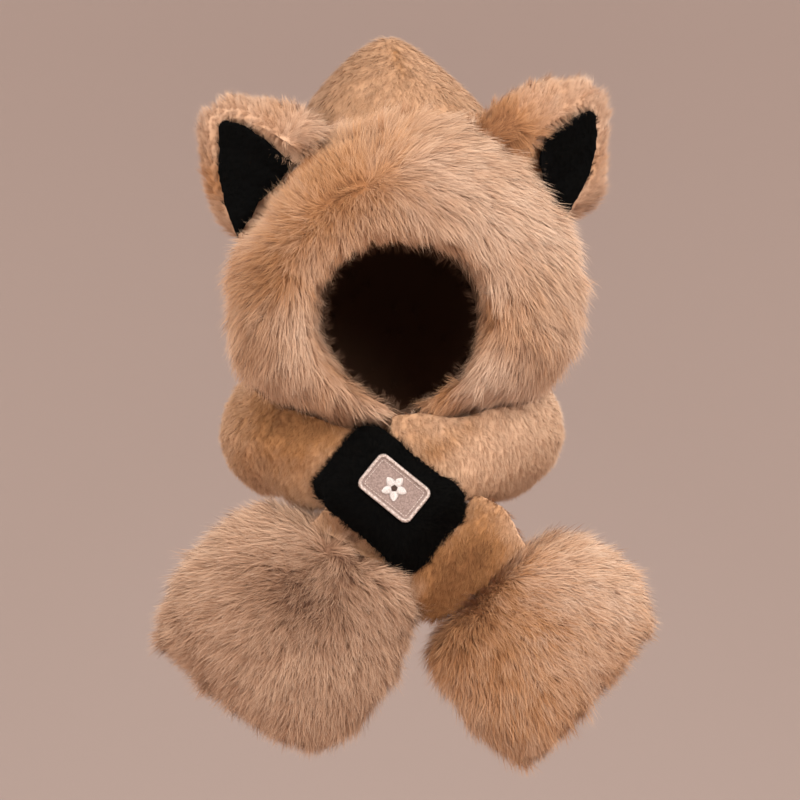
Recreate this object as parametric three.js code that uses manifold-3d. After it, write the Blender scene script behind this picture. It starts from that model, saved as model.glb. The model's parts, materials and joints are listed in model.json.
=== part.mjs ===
// A fur hood with two ears and a scarf whose padded ends cross under a plush keeper.
// Sizes are in millimetres. +Z is up, the face opening looks along -Y, and the origin is where
// the top of the head sits in the hood.

import * as THREE from 'three';
import * as BufferGeometryUtils from 'three/addons/utils/BufferGeometryUtils.js';
import Module from 'manifold-3d';

const wasm = await Module();
wasm.setup();

// Walls and clearances
const plushWall = 7;
const liningWall = 4;
const clearance = 0.3;
const lockCover = 1.25;

// Hood
const crownRise = 60;
const hoodHeight = 330;
const hoodBreadth = 232;
const hoodDepth = 224;
const hoodSetback = 10;

// Face opening and the fur roll round it
const faceAcross = -4;
const faceDrop = 184;
const faceRadius = 60;
const ruffRadius = 150;
const ruffDepth = 104;
const ruffForward = 90;
const ruffSweepBack = 24;
const ruffLock = 9;
const shellEdge = 8;
const liningEdge = 3;

// Ears
const earLength = 96;
const earBreadth = 142;
const earThickness = 54;
const earLock = 8;
const leafBreadth = 68;
const leafLength = 86;
const leafThickness = 4;
const leafRim = 20;
const dishDepth = 10;

// Scarf
const scarfBreadth = 252;
const scarfDepth = 216;
const scarfAcross = -10;
const scarfDrop = 275;
const scarfFall = 140;
const bandWidth = 96;
const bandThickness = 28;
const lowerTuck = 28;
const upperTuck = 11;

// Keeper and patch
const keeperLength = 102;
const keeperWidth = 70;
const keeperThickness = 8;
const keeperTurnIn = 20;
const keeperForward = 132;
const keeperAcross = -12;
const keeperDrop = 325;
const keeperTilt = 39;
const keeperCorner = 12;
const patchLength = 52;
const patchWidth = 34;
const patchThickness = 1.6;
const patchCorner = 6;
const patchAlong = -2;
const patchUp = 8;
const edgeWidth = 3;
const edgeThickness = 2.6;
const flowerRadius = 10;
const flowerThickness = 0.8;
const flowerHeartRadius = 2.6;
const petalCount = 5;

// Padded ends
const pawRadius = 100;
const pawDepth = 92;
const pawLock = 12;
const pawLeftAcross = -92;
const pawLeftDrop = 426;
const pawRightAcross = 104;
const pawRightDrop = 440;
const pawForward = 96;

// Horizontal sections of the hood: drop is a share of its height, the rest shares of half its
// breadth or depth, with centre and lean for where the middle of the section lies.
const hoodSections = [
  { drop: 0.01, breadth: 0.07, depth: 0.07, centre: 0.075, lean: -0.12 },
  { drop: 0.032, breadth: 0.16, depth: 0.17, centre: 0.07, lean: -0.12 },
  { drop: 0.07, breadth: 0.3, depth: 0.33, centre: 0.06, lean: -0.115 },
  { drop: 0.12, breadth: 0.45, depth: 0.51, centre: 0.045, lean: -0.1 },
  { drop: 0.18, breadth: 0.6, depth: 0.68, centre: 0.03, lean: -0.08 },
  { drop: 0.26, breadth: 0.75, depth: 0.83, centre: 0.015, lean: -0.05 },
  { drop: 0.37, breadth: 0.89, depth: 0.95, centre: 0, lean: -0.02 },
  { drop: 0.51, breadth: 0.985, depth: 1, centre: 0, lean: -0.01 },
  { drop: 0.67, breadth: 1, depth: 0.985, centre: -0.01, lean: -0.02 },
  { drop: 0.82, breadth: 0.97, depth: 0.92, centre: -0.015, lean: -0.04 },
  { drop: 0.925, breadth: 0.94, depth: 0.87, centre: -0.02, lean: -0.06 },
  { drop: 1, breadth: 0.92, depth: 0.83, centre: -0.02, lean: -0.06 },
];

// Reach of the face opening by turn, in degrees clockwise from straight down as seen from the
// front, as shares of its radius.
const faceOutline = [
  { turn: 0, reach: 1.17 },
  { turn: 14, reach: 1.03 },
  { turn: 34, reach: 0.97 },
  { turn: 60, reach: 0.95 },
  { turn: 84, reach: 0.99 },
  { turn: 123, reach: 1.03 },
  { turn: 184, reach: 0.97 },
  { turn: 232, reach: 1.02 },
  { turn: 270, reach: 1 },
  { turn: 319, reach: 1.02 },
  { turn: 345, reach: 1.1 },
];

// The fur roll from its left end under the chin over the top to its right end: outer reach as a
// share of the roll's radius, swell as a share of its depth.
const ruffSections = [
  { turn: 5, outer: 0.6, swell: 0.4 },
  { turn: 13, outer: 0.63, swell: 0.56 },
  { turn: 22, outer: 0.66, swell: 0.74 },
  { turn: 36, outer: 0.7, swell: 0.88 },
  { turn: 51, outer: 0.76, swell: 0.96 },
  { turn: 66, outer: 0.9, swell: 1 },
  { turn: 78, outer: 0.965, swell: 1.02 },
  { turn: 96, outer: 0.97, swell: 1.02 },
  { turn: 118, outer: 1.02, swell: 1 },
  { turn: 147, outer: 1.07, swell: 1 },
  { turn: 172, outer: 1.13, swell: 1.02 },
  { turn: 198, outer: 1.17, swell: 1.02 },
  { turn: 222, outer: 1.13, swell: 1 },
  { turn: 246, outer: 1.08, swell: 1 },
  { turn: 266, outer: 1.03, swell: 1.02 },
  { turn: 284, outer: 0.98, swell: 1 },
  { turn: 298, outer: 0.88, swell: 0.94 },
  { turn: 311, outer: 0.72, swell: 0.8 },
  { turn: 322, outer: 0.66, swell: 0.66 },
  { turn: 333, outer: 0.63, swell: 0.54 },
  { turn: 344, outer: 0.59, swell: 0.4 },
];

// Half breadth and thickness of an ear by how far up it a section lies.
const earSections = [
  { rise: -0.27, breadth: 0.86, thickness: 0.8 },
  { rise: 0, breadth: 1, thickness: 1 },
  { rise: 0.2, breadth: 0.95, thickness: 1 },
  { rise: 0.4, breadth: 0.82, thickness: 0.94 },
  { rise: 0.58, breadth: 0.68, thickness: 0.84 },
  { rise: 0.74, breadth: 0.52, thickness: 0.7 },
  { rise: 0.87, breadth: 0.37, thickness: 0.52 },
  { rise: 0.95, breadth: 0.2, thickness: 0.3 },
];

const ears = [
  { side: 'left', across: -103, forward: 56, drop: 72, lean: -39, turn: -18, tip: -6 },
  { side: 'right', across: 105, forward: 54, drop: 63, lean: 35, turn: 42, tip: -6 },
];

// The bands run from the back seam round the neck to the padded ends: across and depth are
// shares of half the scarf's breadth and depth, fall a share of the scarf's fall, and flat is
// how far the band has turned to face the front.
const leftBand = [
  { across: 0.072, depth: 1, fall: -0.05, width: 0.96, thickness: 0.86, flat: 0 },
  { across: -0.24, depth: 0.995, fall: -0.05, width: 0.98, thickness: 0.93, flat: 0 },
  { across: -0.72, depth: 0.76, fall: -0.03, width: 1, thickness: 1, flat: 0 },
  { across: -0.98, depth: 0.26, fall: 0.01, width: 1.02, thickness: 1.07, flat: 0 },
  { across: -1, depth: -0.24, fall: 0.04, width: 1, thickness: 1.07, flat: 0 },
  { across: -0.81, depth: -0.62, fall: 0.06, width: 0.92, thickness: 1, flat: 0 },
  { across: -0.5, depth: -0.83, fall: 0.12, width: 0.84, thickness: 0.82, flat: 0.4 },
  { across: -0.24, depth: -0.9, fall: 0.22, width: 0.82, thickness: 0.68, flat: 0.8 },
  { across: -0.01, depth: -0.91, fall: 0.36, width: 0.84, thickness: 0.64, flat: 1 },
  { across: 0.22, depth: -0.92, fall: 0.5, width: 0.92, thickness: 0.7, flat: 1 },
  { across: 0.41, depth: -0.93, fall: 0.67, width: 1.02, thickness: 0.82, flat: 1 },
  { across: 0.6, depth: -0.91, fall: 0.88, width: 1.06, thickness: 0.9, flat: 1 },
  { across: 0.77, depth: -0.89, fall: 1.06, width: 0.84, thickness: 0.8, flat: 1 },
];

const rightBand = [
  { across: 0.086, depth: 1, fall: -0.05, width: 0.96, thickness: 0.86, flat: 0 },
  { across: 0.4, depth: 0.98, fall: -0.045, width: 0.98, thickness: 0.93, flat: 0 },
  { across: 0.74, depth: 0.76, fall: -0.03, width: 1, thickness: 1, flat: 0 },
  { across: 0.97, depth: 0.26, fall: 0, width: 1, thickness: 1.07, flat: 0 },
  { across: 0.99, depth: -0.24, fall: 0.02, width: 0.98, thickness: 1.07, flat: 0 },
  { across: 0.82, depth: -0.64, fall: 0.03, width: 0.92, thickness: 1, flat: 0 },
  { across: 0.56, depth: -0.88, fall: 0.06, width: 0.88, thickness: 0.9, flat: 0.4 },
  { across: 0.3, depth: -1.01, fall: 0.16, width: 0.84, thickness: 0.72, flat: 0.8 },
  { across: -0.01, depth: -1.075, fall: 0.36, width: 0.84, thickness: 0.57, flat: 1 },
  { across: -0.2, depth: -1.04, fall: 0.54, width: 0.84, thickness: 0.68, flat: 1 },
  { across: -0.4, depth: -0.97, fall: 0.74, width: 0.8, thickness: 0.82, flat: 1 },
  { across: -0.58, depth: -0.9, fall: 0.94, width: 0.6, thickness: 0.8, flat: 1 },
];

// Soft creases pressed into the outer face of a band: along and across are shares of its run and
// half width, length and spread how far the crease reaches, depth a share of the thickness.
const leftFolds = [
  { along: 0.44, across: 0.35, length: 0.1, spread: 0.22, depth: 0.3 },
  { along: 0.82, across: -0.2, length: 0.08, spread: 0.25, depth: 0.35 },
];
const rightFolds = [
  { along: 0.52, across: 0.1, length: 0.09, spread: 0.16, depth: 0.4 },
  { along: 0.86, across: 0.15, length: 0.07, spread: 0.25, depth: 0.35 },
];

// Outline of each padded end by turn from straight down, as shares of its radius.
const pawLeftOutline = [
  { turn: 8, reach: 0.91 },
  { turn: 39, reach: 0.81 },
  { turn: 64, reach: 0.9 },
  { turn: 86, reach: 1.05 },
  { turn: 104, reach: 1.03 },
  { turn: 130, reach: 0.96 },
  { turn: 165, reach: 0.99 },
  { turn: 207, reach: 0.97 },
  { turn: 240, reach: 1 },
  { turn: 268, reach: 0.99 },
  { turn: 290, reach: 0.95 },
  { turn: 319, reach: 0.98 },
  { turn: 342, reach: 1.06 },
];
const pawRightOutline = [
  { turn: 10, reach: 1.03 },
  { turn: 30, reach: 0.91 },
  { turn: 53, reach: 0.84 },
  { turn: 84, reach: 0.91 },
  { turn: 110, reach: 0.78 },
  { turn: 140, reach: 0.72 },
  { turn: 166, reach: 0.82 },
  { turn: 200, reach: 0.92 },
  { turn: 232, reach: 0.94 },
  { turn: 254, reach: 0.97 },
  { turn: 274, reach: 0.78 },
  { turn: 302, reach: 0.65 },
  { turn: 332, reach: 0.67 },
  { turn: 354, reach: 0.88 },
];

// Dents in the front of the padded ends, all as shares of the radius, depth of half the depth.
const pawLeftDents = [
  { across: 0.5, up: 0.66, spread: 0.3, depth: 0.4 },
  { across: 0.02, up: 0.22, spread: 0.36, depth: 0.14 },
];
const pawRightDents = [
  { across: -0.5, up: 0.5, spread: 0.32, depth: 0.3 },
  { across: 0.1, up: 0.2, spread: 0.36, depth: 0.1 },
];

// How the walls thicken towards the crown: the share of the drop it reaches down, and how much.
const crownWall = { reach: 0.4, rise: 1.2 };

// How the locks lie: lift from least by spread, and how far they lean, as shares of their length
// or cell; the roll's locks start at its seat, part at its crest, and its slant follows its swell.
const ruffLay = { seat: -0.45, crest: 0.6, side: 0.62, along: 0.7, least: 0.4, spread: 0.8, slant: 0.25 };
const pawLay = { rim: 0.6, least: 0.5, spread: 0.9, lean: 0.5 };
const earLay = { upward: 0.12, least: 0.45, spread: 0.8, lift: 0.7, lean: 0.5 };

// How square the sections are: 1 is an ellipse, or a power for the padded ends.
const roundness = { band: 0.85, ear: 0.9, paw: 2.4 };

// Where the keeper's corners and rims start and end their turn, as shares of its half size.
const keeperTurns = { cornerFrom: 0.75, endFrom: 0.55, endTo: 1.05, sideFrom: 0.7, sideTo: 1.4 };

// Outline of an ear's leaf, as shares of its half breadth and height.
const leafShape = { root: 0.86, belly: 1.12, shoulder: 0.6, shoulderUp: 0.72, point: 0.1 };

// A petal's notch and bulge as shares of the flower's radius, and how blunt it is.
const petalShape = { notch: 0.62, bluntness: 0.7, points: 8 };

// Numbers of facets
const hoodSides = 21;
const entryRows = 2.2;
const faceSides = 28;
const ruffSteps = 33;
const ruffSides = 15;
const bandSteps = 27;
const bandSides = 12;
const pawSides = 24;
const pawRows = 11;
const earSides = 17;
const keeperSteps = 10;
const keeperRows = 6;
const sharpestSlant = 0.3;

const radians = THREE.MathUtils.degToRad;

// A repeatable spread of values from 0 to 1, one for each lock.
const spreadOf = (row, place) => {
  const wave = Math.sin(row * 12.9898 + place * 78.233) * 43758.5453;
  return wave - Math.floor(wave);
};

// Smooth value of a named column at a place along a table, through every row.
function columnAt(table, key, column, place, period = 0) {
  const rowAt = (index) => {
    if (!period) return table[THREE.MathUtils.clamp(index, 0, table.length - 1)];
    const lap = Math.floor(index / table.length);
    const row = table[index - lap * table.length];
    return { ...row, [key]: row[key] + lap * period };
  };
  let index = table.findIndex((row) => row[key] > place) - 1;
  if (index === -2) index = table.length - (period ? 1 : 2);
  const [before, from, to, after] = [-1, 0, 1, 2].map((step) => rowAt(index + step));
  const span = to[key] - from[key] || 1;
  const share = THREE.MathUtils.clamp((place - from[key]) / span, 0, 1);
  const slope = (low, high) => ((high[column] - low[column]) / (high[key] - low[key] || 1)) * span;
  const [start, end] = [slope(before, to), slope(from, after)];
  const [square, cube] = [share * share, share ** 3];
  return (
    (2 * cube - 3 * square + 1) * from[column] + (cube - 2 * square + share) * start
    + (3 * square - 2 * cube) * to[column] + (cube - square) * end
  );
}

// One closed body from rows of points, each row a closed ring. A lock, where there is one, lifts
// the middle of its cell; a cell without one is flat. Both ends close on their middle.
function bodyFromRings(rings, lockAt = () => null) {
  const positions = [];
  const addTriangle = (a, b, c) => positions.push(...a.toArray(), ...b.toArray(), ...c.toArray());
  const sides = rings[0].length;
  for (let row = 0; row < rings.length - 1; row += 1) {
    for (let place = 0; place < sides; place += 1) {
      const next = (place + 1) % sides;
      const corners = [rings[row][place], rings[row][next], rings[row + 1][next], rings[row + 1][place]];
      const lock = lockAt(row, place, corners);
      if (lock) {
        corners.forEach((corner, index) => addTriangle(corner, corners[(index + 1) % 4], lock));
      } else {
        addTriangle(corners[0], corners[1], corners[2]);
        addTriangle(corners[0], corners[2], corners[3]);
      }
    }
  }
  const capRing = (ring, turned) => {
    const middle = ring.reduce((sum, point) => sum.add(point), new THREE.Vector3()).divideScalar(sides);
    ring.forEach((point, place) => {
      const next = ring[(place + 1) % sides];
      if (turned) addTriangle(next, point, middle);
      else addTriangle(point, next, middle);
    });
  };
  capRing(rings[0], true);
  capRing(rings[rings.length - 1], false);
  const geometry = new THREE.BufferGeometry();
  geometry.setAttribute('position', new THREE.Float32BufferAttribute(positions, 3));
  return outwards(BufferGeometryUtils.mergeVertices(geometry, 1e-4));
}

// Signed volume of a closed geometry tells which way its faces point.
function signedVolume(geometry) {
  const place = geometry.attributes.position;
  const corners = [new THREE.Vector3(), new THREE.Vector3(), new THREE.Vector3()];
  let volume = 0;
  for (let index = 0; index < geometry.index.count; index += 3) {
    corners.forEach((corner, step) => corner.fromBufferAttribute(place, geometry.index.getX(index + step)));
    volume += corners[0].dot(corners[1].clone().cross(corners[2])) / 6;
  }
  return volume;
}

function outwards(geometry) {
  if (signedVolume(geometry) > 0) return geometry;
  const order = Array.from(geometry.index.array);
  for (let index = 0; index < order.length; index += 3) {
    [order[index + 1], order[index + 2]] = [order[index + 2], order[index + 1]];
  }
  geometry.setIndex(order);
  return geometry;
}

// Middle of a cell lifted along its own outward direction and leant along a given one.
function lockPoint(corners, outward, lift, lean) {
  const middle = corners.reduce((sum, point) => sum.add(point), new THREE.Vector3()).divideScalar(4);
  return middle.addScaledVector(outward, lift).add(lean);
}

function bare(geometry) {
  const plain = geometry.clone();
  plain.deleteAttribute('normal');
  plain.deleteAttribute('uv');
  return BufferGeometryUtils.mergeVertices(plain, 1e-4);
}

function toSolid(geometry) {
  const plain = bare(geometry);
  return new wasm.Manifold(new wasm.Mesh({
    numProp: 3,
    vertProperties: new Float32Array(plain.attributes.position.array),
    triVerts: new Uint32Array(plain.index.array),
  }));
}

function toGeometry(solid) {
  const mesh = solid.getMesh();
  const geometry = new THREE.BufferGeometry();
  geometry.setAttribute('position', new THREE.Float32BufferAttribute(mesh.vertProperties, 3));
  geometry.setIndex(Array.from(mesh.triVerts));
  const faceted = geometry.toNonIndexed();
  faceted.computeVertexNormals();
  return faceted;
}

// The same surface moved outwards until each of its faces has moved by the amount, for cutting
// a neighbour with room to spare.
function grown(geometry, amount) {
  const swollen = bare(geometry);
  const place = swollen.attributes.position;
  const pointAt = (index) => new THREE.Vector3().fromBufferAttribute(place, index);
  const facesAt = Array.from({ length: place.count }, () => []);
  for (let index = 0; index < swollen.index.count; index += 3) {
    const corners = [0, 1, 2].map((step) => swollen.index.getX(index + step));
    const [a, b, c] = corners.map(pointAt);
    const facing = b.sub(a).cross(c.sub(a));
    if (facing.length() > 1e-6) corners.forEach((corner) => facesAt[corner].push(facing.clone().normalize()));
  }
  const moved = facesAt.map((facings, index) => {
    const away = facings.reduce((sum, facing) => sum.add(facing), new THREE.Vector3()).normalize();
    const least = Math.min(1, ...facings.map((facing) => facing.dot(away)));
    return pointAt(index).addScaledVector(away, amount / Math.max(least, sharpestSlant));
  });
  moved.forEach((point, index) => place.setXYZ(index, point.x, point.y, point.z));
  return swollen;
}

// What is left of a piece when its neighbours have taken their room: its largest body.
function cutBy(geometry, cutters) {
  const left = cutters.reduce((solid, cutter) => solid.subtract(toSolid(cutter)), toSolid(geometry));
  const bodies = left.decompose();
  return toGeometry(bodies.reduce((best, body) => (body.volume() > best.volume() ? body : best)));
}

// Point on the front plane by turn and reach about a centre.
function aroundFront(across, drop, turn, reach) {
  return { x: across - reach * Math.sin(radians(turn)), z: -drop - reach * Math.cos(radians(turn)) };
}

// Closed body inside the hood's outer surface by an inset, and drawn down past the rim.
function hoodBody(inset, rimDrop = 0) {
  const rings = hoodSections.map((row) => {
    const [halfBreadth, halfDepth] = [hoodBreadth / 2, hoodDepth / 2];
    const slope = 1 - THREE.MathUtils.smoothstep(row.drop, 0, crownWall.reach);
    const low = row.drop === 1 ? rimDrop : 0;
    return Array.from({ length: hoodSides }, (_, place) => {
      const angle = (place / hoodSides) * 2 * Math.PI;
      const across = Math.max(halfBreadth * row.breadth - inset * (1 - slope / 2), 1);
      const depth = Math.max(halfDepth * row.depth - inset * (1 - slope / 2), 1);
      return new THREE.Vector3(
        row.lean * halfBreadth + across * Math.sin(angle),
        hoodSetback + row.centre * hoodDepth - depth * Math.cos(angle),
        crownRise - row.drop * hoodHeight - inset * slope * crownWall.rise - low,
      );
    });
  });
  return bodyFromRings(rings);
}

// Prism through the front of the hood, larger than the seen opening by a margin.
function facePrism(margin) {
  const outline = new THREE.Shape();
  for (let place = 0; place < faceSides; place += 1) {
    const turn = (place / faceSides) * 360;
    const reach = faceRadius * columnAt(faceOutline, 'turn', 'reach', turn, 360) + margin;
    const spot = aroundFront(faceAcross, faceDrop, turn, reach);
    if (place) outline.lineTo(spot.x, spot.z);
    else outline.moveTo(spot.x, spot.z);
  }
  const prism = new THREE.ExtrudeGeometry(outline, { depth: hoodDepth, bevelEnabled: false });
  return prism.rotateX(Math.PI / 2);
}

const ruffLocks = buildRuff(true);
const hoodOuter = hoodBody(0, 0);
const shellGeometry = cutBy(hoodOuter, [
  hoodBody(plushWall, plushWall),
  facePrism(shellEdge),
]);
const liningGeometry = cutBy(hoodBody(plushWall + clearance, 0), [
  hoodBody(plushWall + clearance + liningWall, plushWall),
  facePrism(liningEdge),
]);
const hoodRoom = grown(hoodBody(0, 0), clearance);

// The fur roll: an oval section swept round the face, whose locks part over its crest, some to
// the opening and some outwards.
function buildRuff(withLocks) {
  const first = ruffSections[0].turn;
  const last = ruffSections[ruffSections.length - 1].turn;
  const sections = Array.from({ length: ruffSteps + 1 }, (_, step) => {
    const turn = first + ((last - first) * step) / ruffSteps;
    const inner = faceRadius * columnAt(faceOutline, 'turn', 'reach', turn, 360);
    const outer = ruffRadius * columnAt(ruffSections, 'turn', 'outer', turn);
    const swell = columnAt(ruffSections, 'turn', 'swell', turn);
    return { turn, inner: inner + ruffLock / 2, outer: outer - ruffLock * ruffLay.spread, swell };
  });
  const anglesRound = Array.from({ length: ruffSides }, (_, place) => (2 * Math.PI * place) / ruffSides);
  const rings = sections.map((section) => anglesRound.map((angle) => {
    const middle = (section.inner + section.outer) / 2;
    const half = (section.outer - section.inner) / 2;
    const reach = middle + half * Math.cos(angle);
    const spot = aroundFront(faceAcross, faceDrop, section.turn, reach);
    const forward = ruffForward * (1 - ruffLay.slant * (1 - section.swell))
      + ((ruffDepth * section.swell) / 2 - ruffLock / 2) * Math.sin(angle);
    const sweep = ruffSweepBack * section.swell * Math.cos(angle);
    return new THREE.Vector3(spot.x, sweep - forward, spot.z);
  }));
  const lockAt = (row, place, corners) => {
    const angle = (anglesRound[place] + Math.PI / ruffSides);
    if (Math.sin(angle) < ruffLay.seat) return null;
    const outward = corners[2].clone().sub(corners[0]).cross(corners[3].clone().sub(corners[1])).normalize();
    const across = corners[1].clone().sub(corners[0]);
    const along = corners[3].clone().sub(corners[0]);
    const side = angle > ruffLay.crest * Math.PI ? ruffLay.side : -ruffLay.side;
    const spread = spreadOf(row, place);
    const sideways = ruffLay.along * (spreadOf(place, row) - 0.5);
    const lean = across.multiplyScalar(side).addScaledVector(along, sideways);
    return lockPoint(corners, outward, ruffLock * (ruffLay.least + ruffLay.spread * spread), lean);
  };
  return bodyFromRings(rings, withLocks ? lockAt : undefined);
}

const ruffGeometry = cutBy(ruffLocks, [hoodRoom]);
const ruffRoom = grown(buildRuff(false), ruffLock * lockCover + clearance);

// A padded end: rings from its back to its front about a crown near its band, from which the
// locks fan out and down.
function buildPaw(side, withLocks) {
  const halfDepth = pawDepth / 2 - pawLock / 2;
  const rimReach = (turn) => (
    pawRadius * columnAt(side.outline, 'turn', 'reach', turn, 360) - pawLock * pawLay.rim
  );
  const crown = new THREE.Vector2(side.crown.across * pawRadius, side.crown.up * pawRadius);
  const depthAt = (x, z) => {
    const turn = THREE.MathUtils.euclideanModulo(Math.atan2(-x, -z) / radians(1), 360);
    const share = Math.min(Math.hypot(x, z) / rimReach(turn), 1);
    return halfDepth * Math.sqrt(1 - share ** roundness.paw);
  };
  const pointAt = (turn, tilt) => {
    const rim = aroundFront(0, 0, turn, rimReach(turn));
    const share = Math.cos(tilt);
    const x = THREE.MathUtils.lerp(crown.x, rim.x, share);
    const z = THREE.MathUtils.lerp(crown.y, rim.z, share);
    const dent = side.dents.reduce((sum, row) => {
      const away = Math.hypot(x / pawRadius - row.across, z / pawRadius - row.up) / row.spread;
      return sum + row.depth * Math.exp(-away * away);
    }, 0);
    const front = Math.sin(tilt) > 0 ? 1 - dent : 1;
    const thick = share > 0.999 ? 0 : depthAt(x, z) * Math.sign(Math.sin(tilt)) * front;
    return new THREE.Vector3(side.across + x, -pawForward - thick, -side.drop + z);
  };
  const rings = Array.from({ length: pawRows }, (_, row) => {
    const tilt = Math.PI * ((row + 0.5) / pawRows - 0.5);
    return Array.from({ length: pawSides }, (_, place) => pointAt((place / pawSides) * 360, tilt));
  });
  const centre = new THREE.Vector3(side.across, -pawForward, -side.drop);
  const lockAt = (row, place, corners) => {
    const turn = ((place + 0.5) / pawSides) * 360;
    const underBand = turn > side.entry.from && turn < side.entry.to;
    if (underBand && Math.abs(row + 1 - pawRows / 2) < entryRows) return null;
    const middle = corners.reduce((sum, point) => sum.add(point), new THREE.Vector3()).divideScalar(4);
    const outward = middle.clone().sub(centre);
    outward.y *= pawRadius / halfDepth;
    outward.normalize();
    const flow = new THREE.Vector3(middle.x - centre.x - crown.x, 0, middle.z - centre.z - crown.y);
    flow.normalize();
    const lift = pawLock * (pawLay.least + pawLay.spread * spreadOf(row + side.seed, place));
    flow.x += spreadOf(place, row + side.seed) - 0.5;
    return lockPoint(corners, outward, lift * (1 - pawLay.lean), flow.multiplyScalar(lift * pawLay.lean));
  };
  return bodyFromRings(rings, withLocks ? lockAt : undefined);
}

const pawLeft = {
  across: pawLeftAcross,
  drop: pawLeftDrop,
  outline: pawLeftOutline,
  dents: pawLeftDents,
  crown: { across: 0.3, up: 0.42 },
  entry: { from: 185, to: 262 },
  seed: 3,
};
const pawRight = {
  across: pawRightAcross,
  drop: pawRightDrop,
  outline: pawRightOutline,
  dents: pawRightDents,
  crown: { across: -0.12, up: 0.3 },
  entry: { from: 95, to: 182 },
  seed: 11,
};
const pawRoomOf = (side, cover) => grown(buildPaw(side, false), cover + clearance);
const pawLeftRoom = pawRoomOf(pawLeft, pawLock * lockCover);
const pawSeatOf = (side) => {
  const locked = buildPaw(side, true);
  return [pawRoomOf(side, clearance), locked, grown(locked, clearance * 2)];
};
const pawLeftSeat = pawSeatOf(pawLeft);
const pawRightRoom = pawRoomOf(pawRight, pawLock * lockCover);
const pawRightSeat = pawSeatOf(pawRight);

const signedPower = (value, power) => Math.sign(value) * Math.abs(value) ** power;

// A scarf band: a flat padded section swept along its path and facing away from the neck, with
// its edges drawn in towards it until it turns to the front.
function buildBand(rows, folds) {
  const path = new THREE.CatmullRomCurve3(rows.map((row) => new THREE.Vector3(
    scarfAcross + (row.across * scarfBreadth) / 2,
    (row.depth * scarfDepth) / 2,
    -scarfDrop - row.fall * scarfFall,
  )));
  const indexed = rows.map((row, index) => ({ ...row, index: index / (rows.length - 1) }));
  const rings = Array.from({ length: bandSteps + 1 }, (_, step) => {
    const share = step / bandSteps;
    const spot = path.getPoint(share);
    const tangent = path.getTangent(share);
    const away = new THREE.Vector3(spot.x - scarfAcross, spot.y, 0).normalize();
    const flat = columnAt(indexed, 'index', 'flat', share);
    away.lerp(new THREE.Vector3(0, -1, 0), flat).normalize();
    const cross = tangent.clone().cross(away).normalize();
    if (cross.z < 0) cross.negate();
    const facing = away.addScaledVector(tangent, -away.dot(tangent)).normalize();
    const halfWidth = (bandWidth / 2) * columnAt(indexed, 'index', 'width', share);
    const halfThick = (bandThickness / 2) * columnAt(indexed, 'index', 'thickness', share);
    return Array.from({ length: bandSides }, (_, place) => {
      const angle = (place / bandSides) * 2 * Math.PI;
      const across = Math.cos(angle);
      const out = signedPower(Math.sin(angle), roundness.band);
      const fold = folds.reduce((sum, row) => {
        const along = (share - row.along) / row.length;
        const aside = (across - row.across) / row.spread;
        return sum + row.depth * Math.exp(-along * along - aside * aside);
      }, 0);
      const tuck = (across < 0 ? lowerTuck : upperTuck) * across * across * (1 - flat);
      return spot.clone()
        .addScaledVector(cross, across * halfWidth)
        .addScaledVector(facing, out * halfThick * (out > 0 ? 1 - fold : 1) - tuck);
    });
  });
  return bodyFromRings(rings);
}

const rightBandBase = buildBand(rightBand, rightFolds);
const leftBandBase = buildBand(leftBand, leftFolds);
const rightBandGeometry = cutBy(rightBandBase, [
  hoodRoom,
  ruffRoom,
  ...pawLeftSeat,
]);
const rightBandRoom = grown(rightBandBase, clearance * 2);
const leftBandGeometry = cutBy(leftBandBase, [
  hoodRoom,
  ruffRoom,
  rightBandRoom,
  ...pawRightSeat,
  pawLeftRoom,
]);

// The keeper in its own frame: X along it, Z up its width, -Y to the front. Its middle is flat
// and its rim rolls back to the band it is sewn to.
function buildKeeper() {
  const rings = Array.from({ length: keeperSteps + 1 }, (_, step) => {
    const along = -1 + (2 * step) / keeperSteps;
    const corner = THREE.MathUtils.smoothstep(Math.abs(along), keeperTurns.cornerFrom, 1) * keeperCorner;
    const halfWidth = keeperWidth / 2 - corner / 2;
    const pointAt = (row, depth) => {
      const up = -1 + (2 * row) / keeperRows;
      const { endFrom, endTo, sideFrom, sideTo } = keeperTurns;
      const rollEnd = keeperTurnIn * THREE.MathUtils.smoothstep(Math.abs(along), endFrom, endTo);
      const rollSide = keeperTurnIn * THREE.MathUtils.smoothstep(Math.abs(up), sideFrom, sideTo);
      return new THREE.Vector3((along * keeperLength) / 2, rollEnd + rollSide + depth, up * halfWidth);
    };
    const rows = Array.from({ length: keeperRows + 1 }, (_, row) => row);
    return [
      ...rows.map((row) => pointAt(row, 0)),
      ...rows.reverse().map((row) => pointAt(row, keeperThickness)),
    ];
  });
  return bodyFromRings(rings);
}

const keeperGroup = new THREE.Group();
keeperGroup.position.set(keeperAcross, -keeperForward, -keeperDrop);
keeperGroup.rotation.y = radians(keeperTilt);
keeperGroup.updateMatrixWorld();

const inFrameOf = (group, geometries) => {
  const inverse = group.matrixWorld.clone().invert();
  return geometries.map((geometry) => geometry.clone().applyMatrix4(inverse));
};

const keeperGeometry = cutBy(buildKeeper(), inFrameOf(keeperGroup, [
  rightBandRoom,
  grown(leftBandBase, clearance * 2),
  ruffRoom,
  pawLeftRoom,
  pawRightRoom,
]));

function roundedOutline(path, length, width, corner) {
  const [right, top] = [length / 2, width / 2];
  path.moveTo(-right + corner, -top);
  path.lineTo(right - corner, -top);
  path.absarc(right - corner, -top + corner, corner, -Math.PI / 2, 0, false);
  path.lineTo(right, top - corner);
  path.absarc(right - corner, top - corner, corner, 0, Math.PI / 2, false);
  path.lineTo(-right + corner, top);
  path.absarc(-right + corner, top - corner, corner, Math.PI / 2, Math.PI, false);
  path.lineTo(-right, -top + corner);
  path.absarc(-right + corner, -top + corner, corner, Math.PI, 1.5 * Math.PI, false);
  return path;
}

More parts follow.
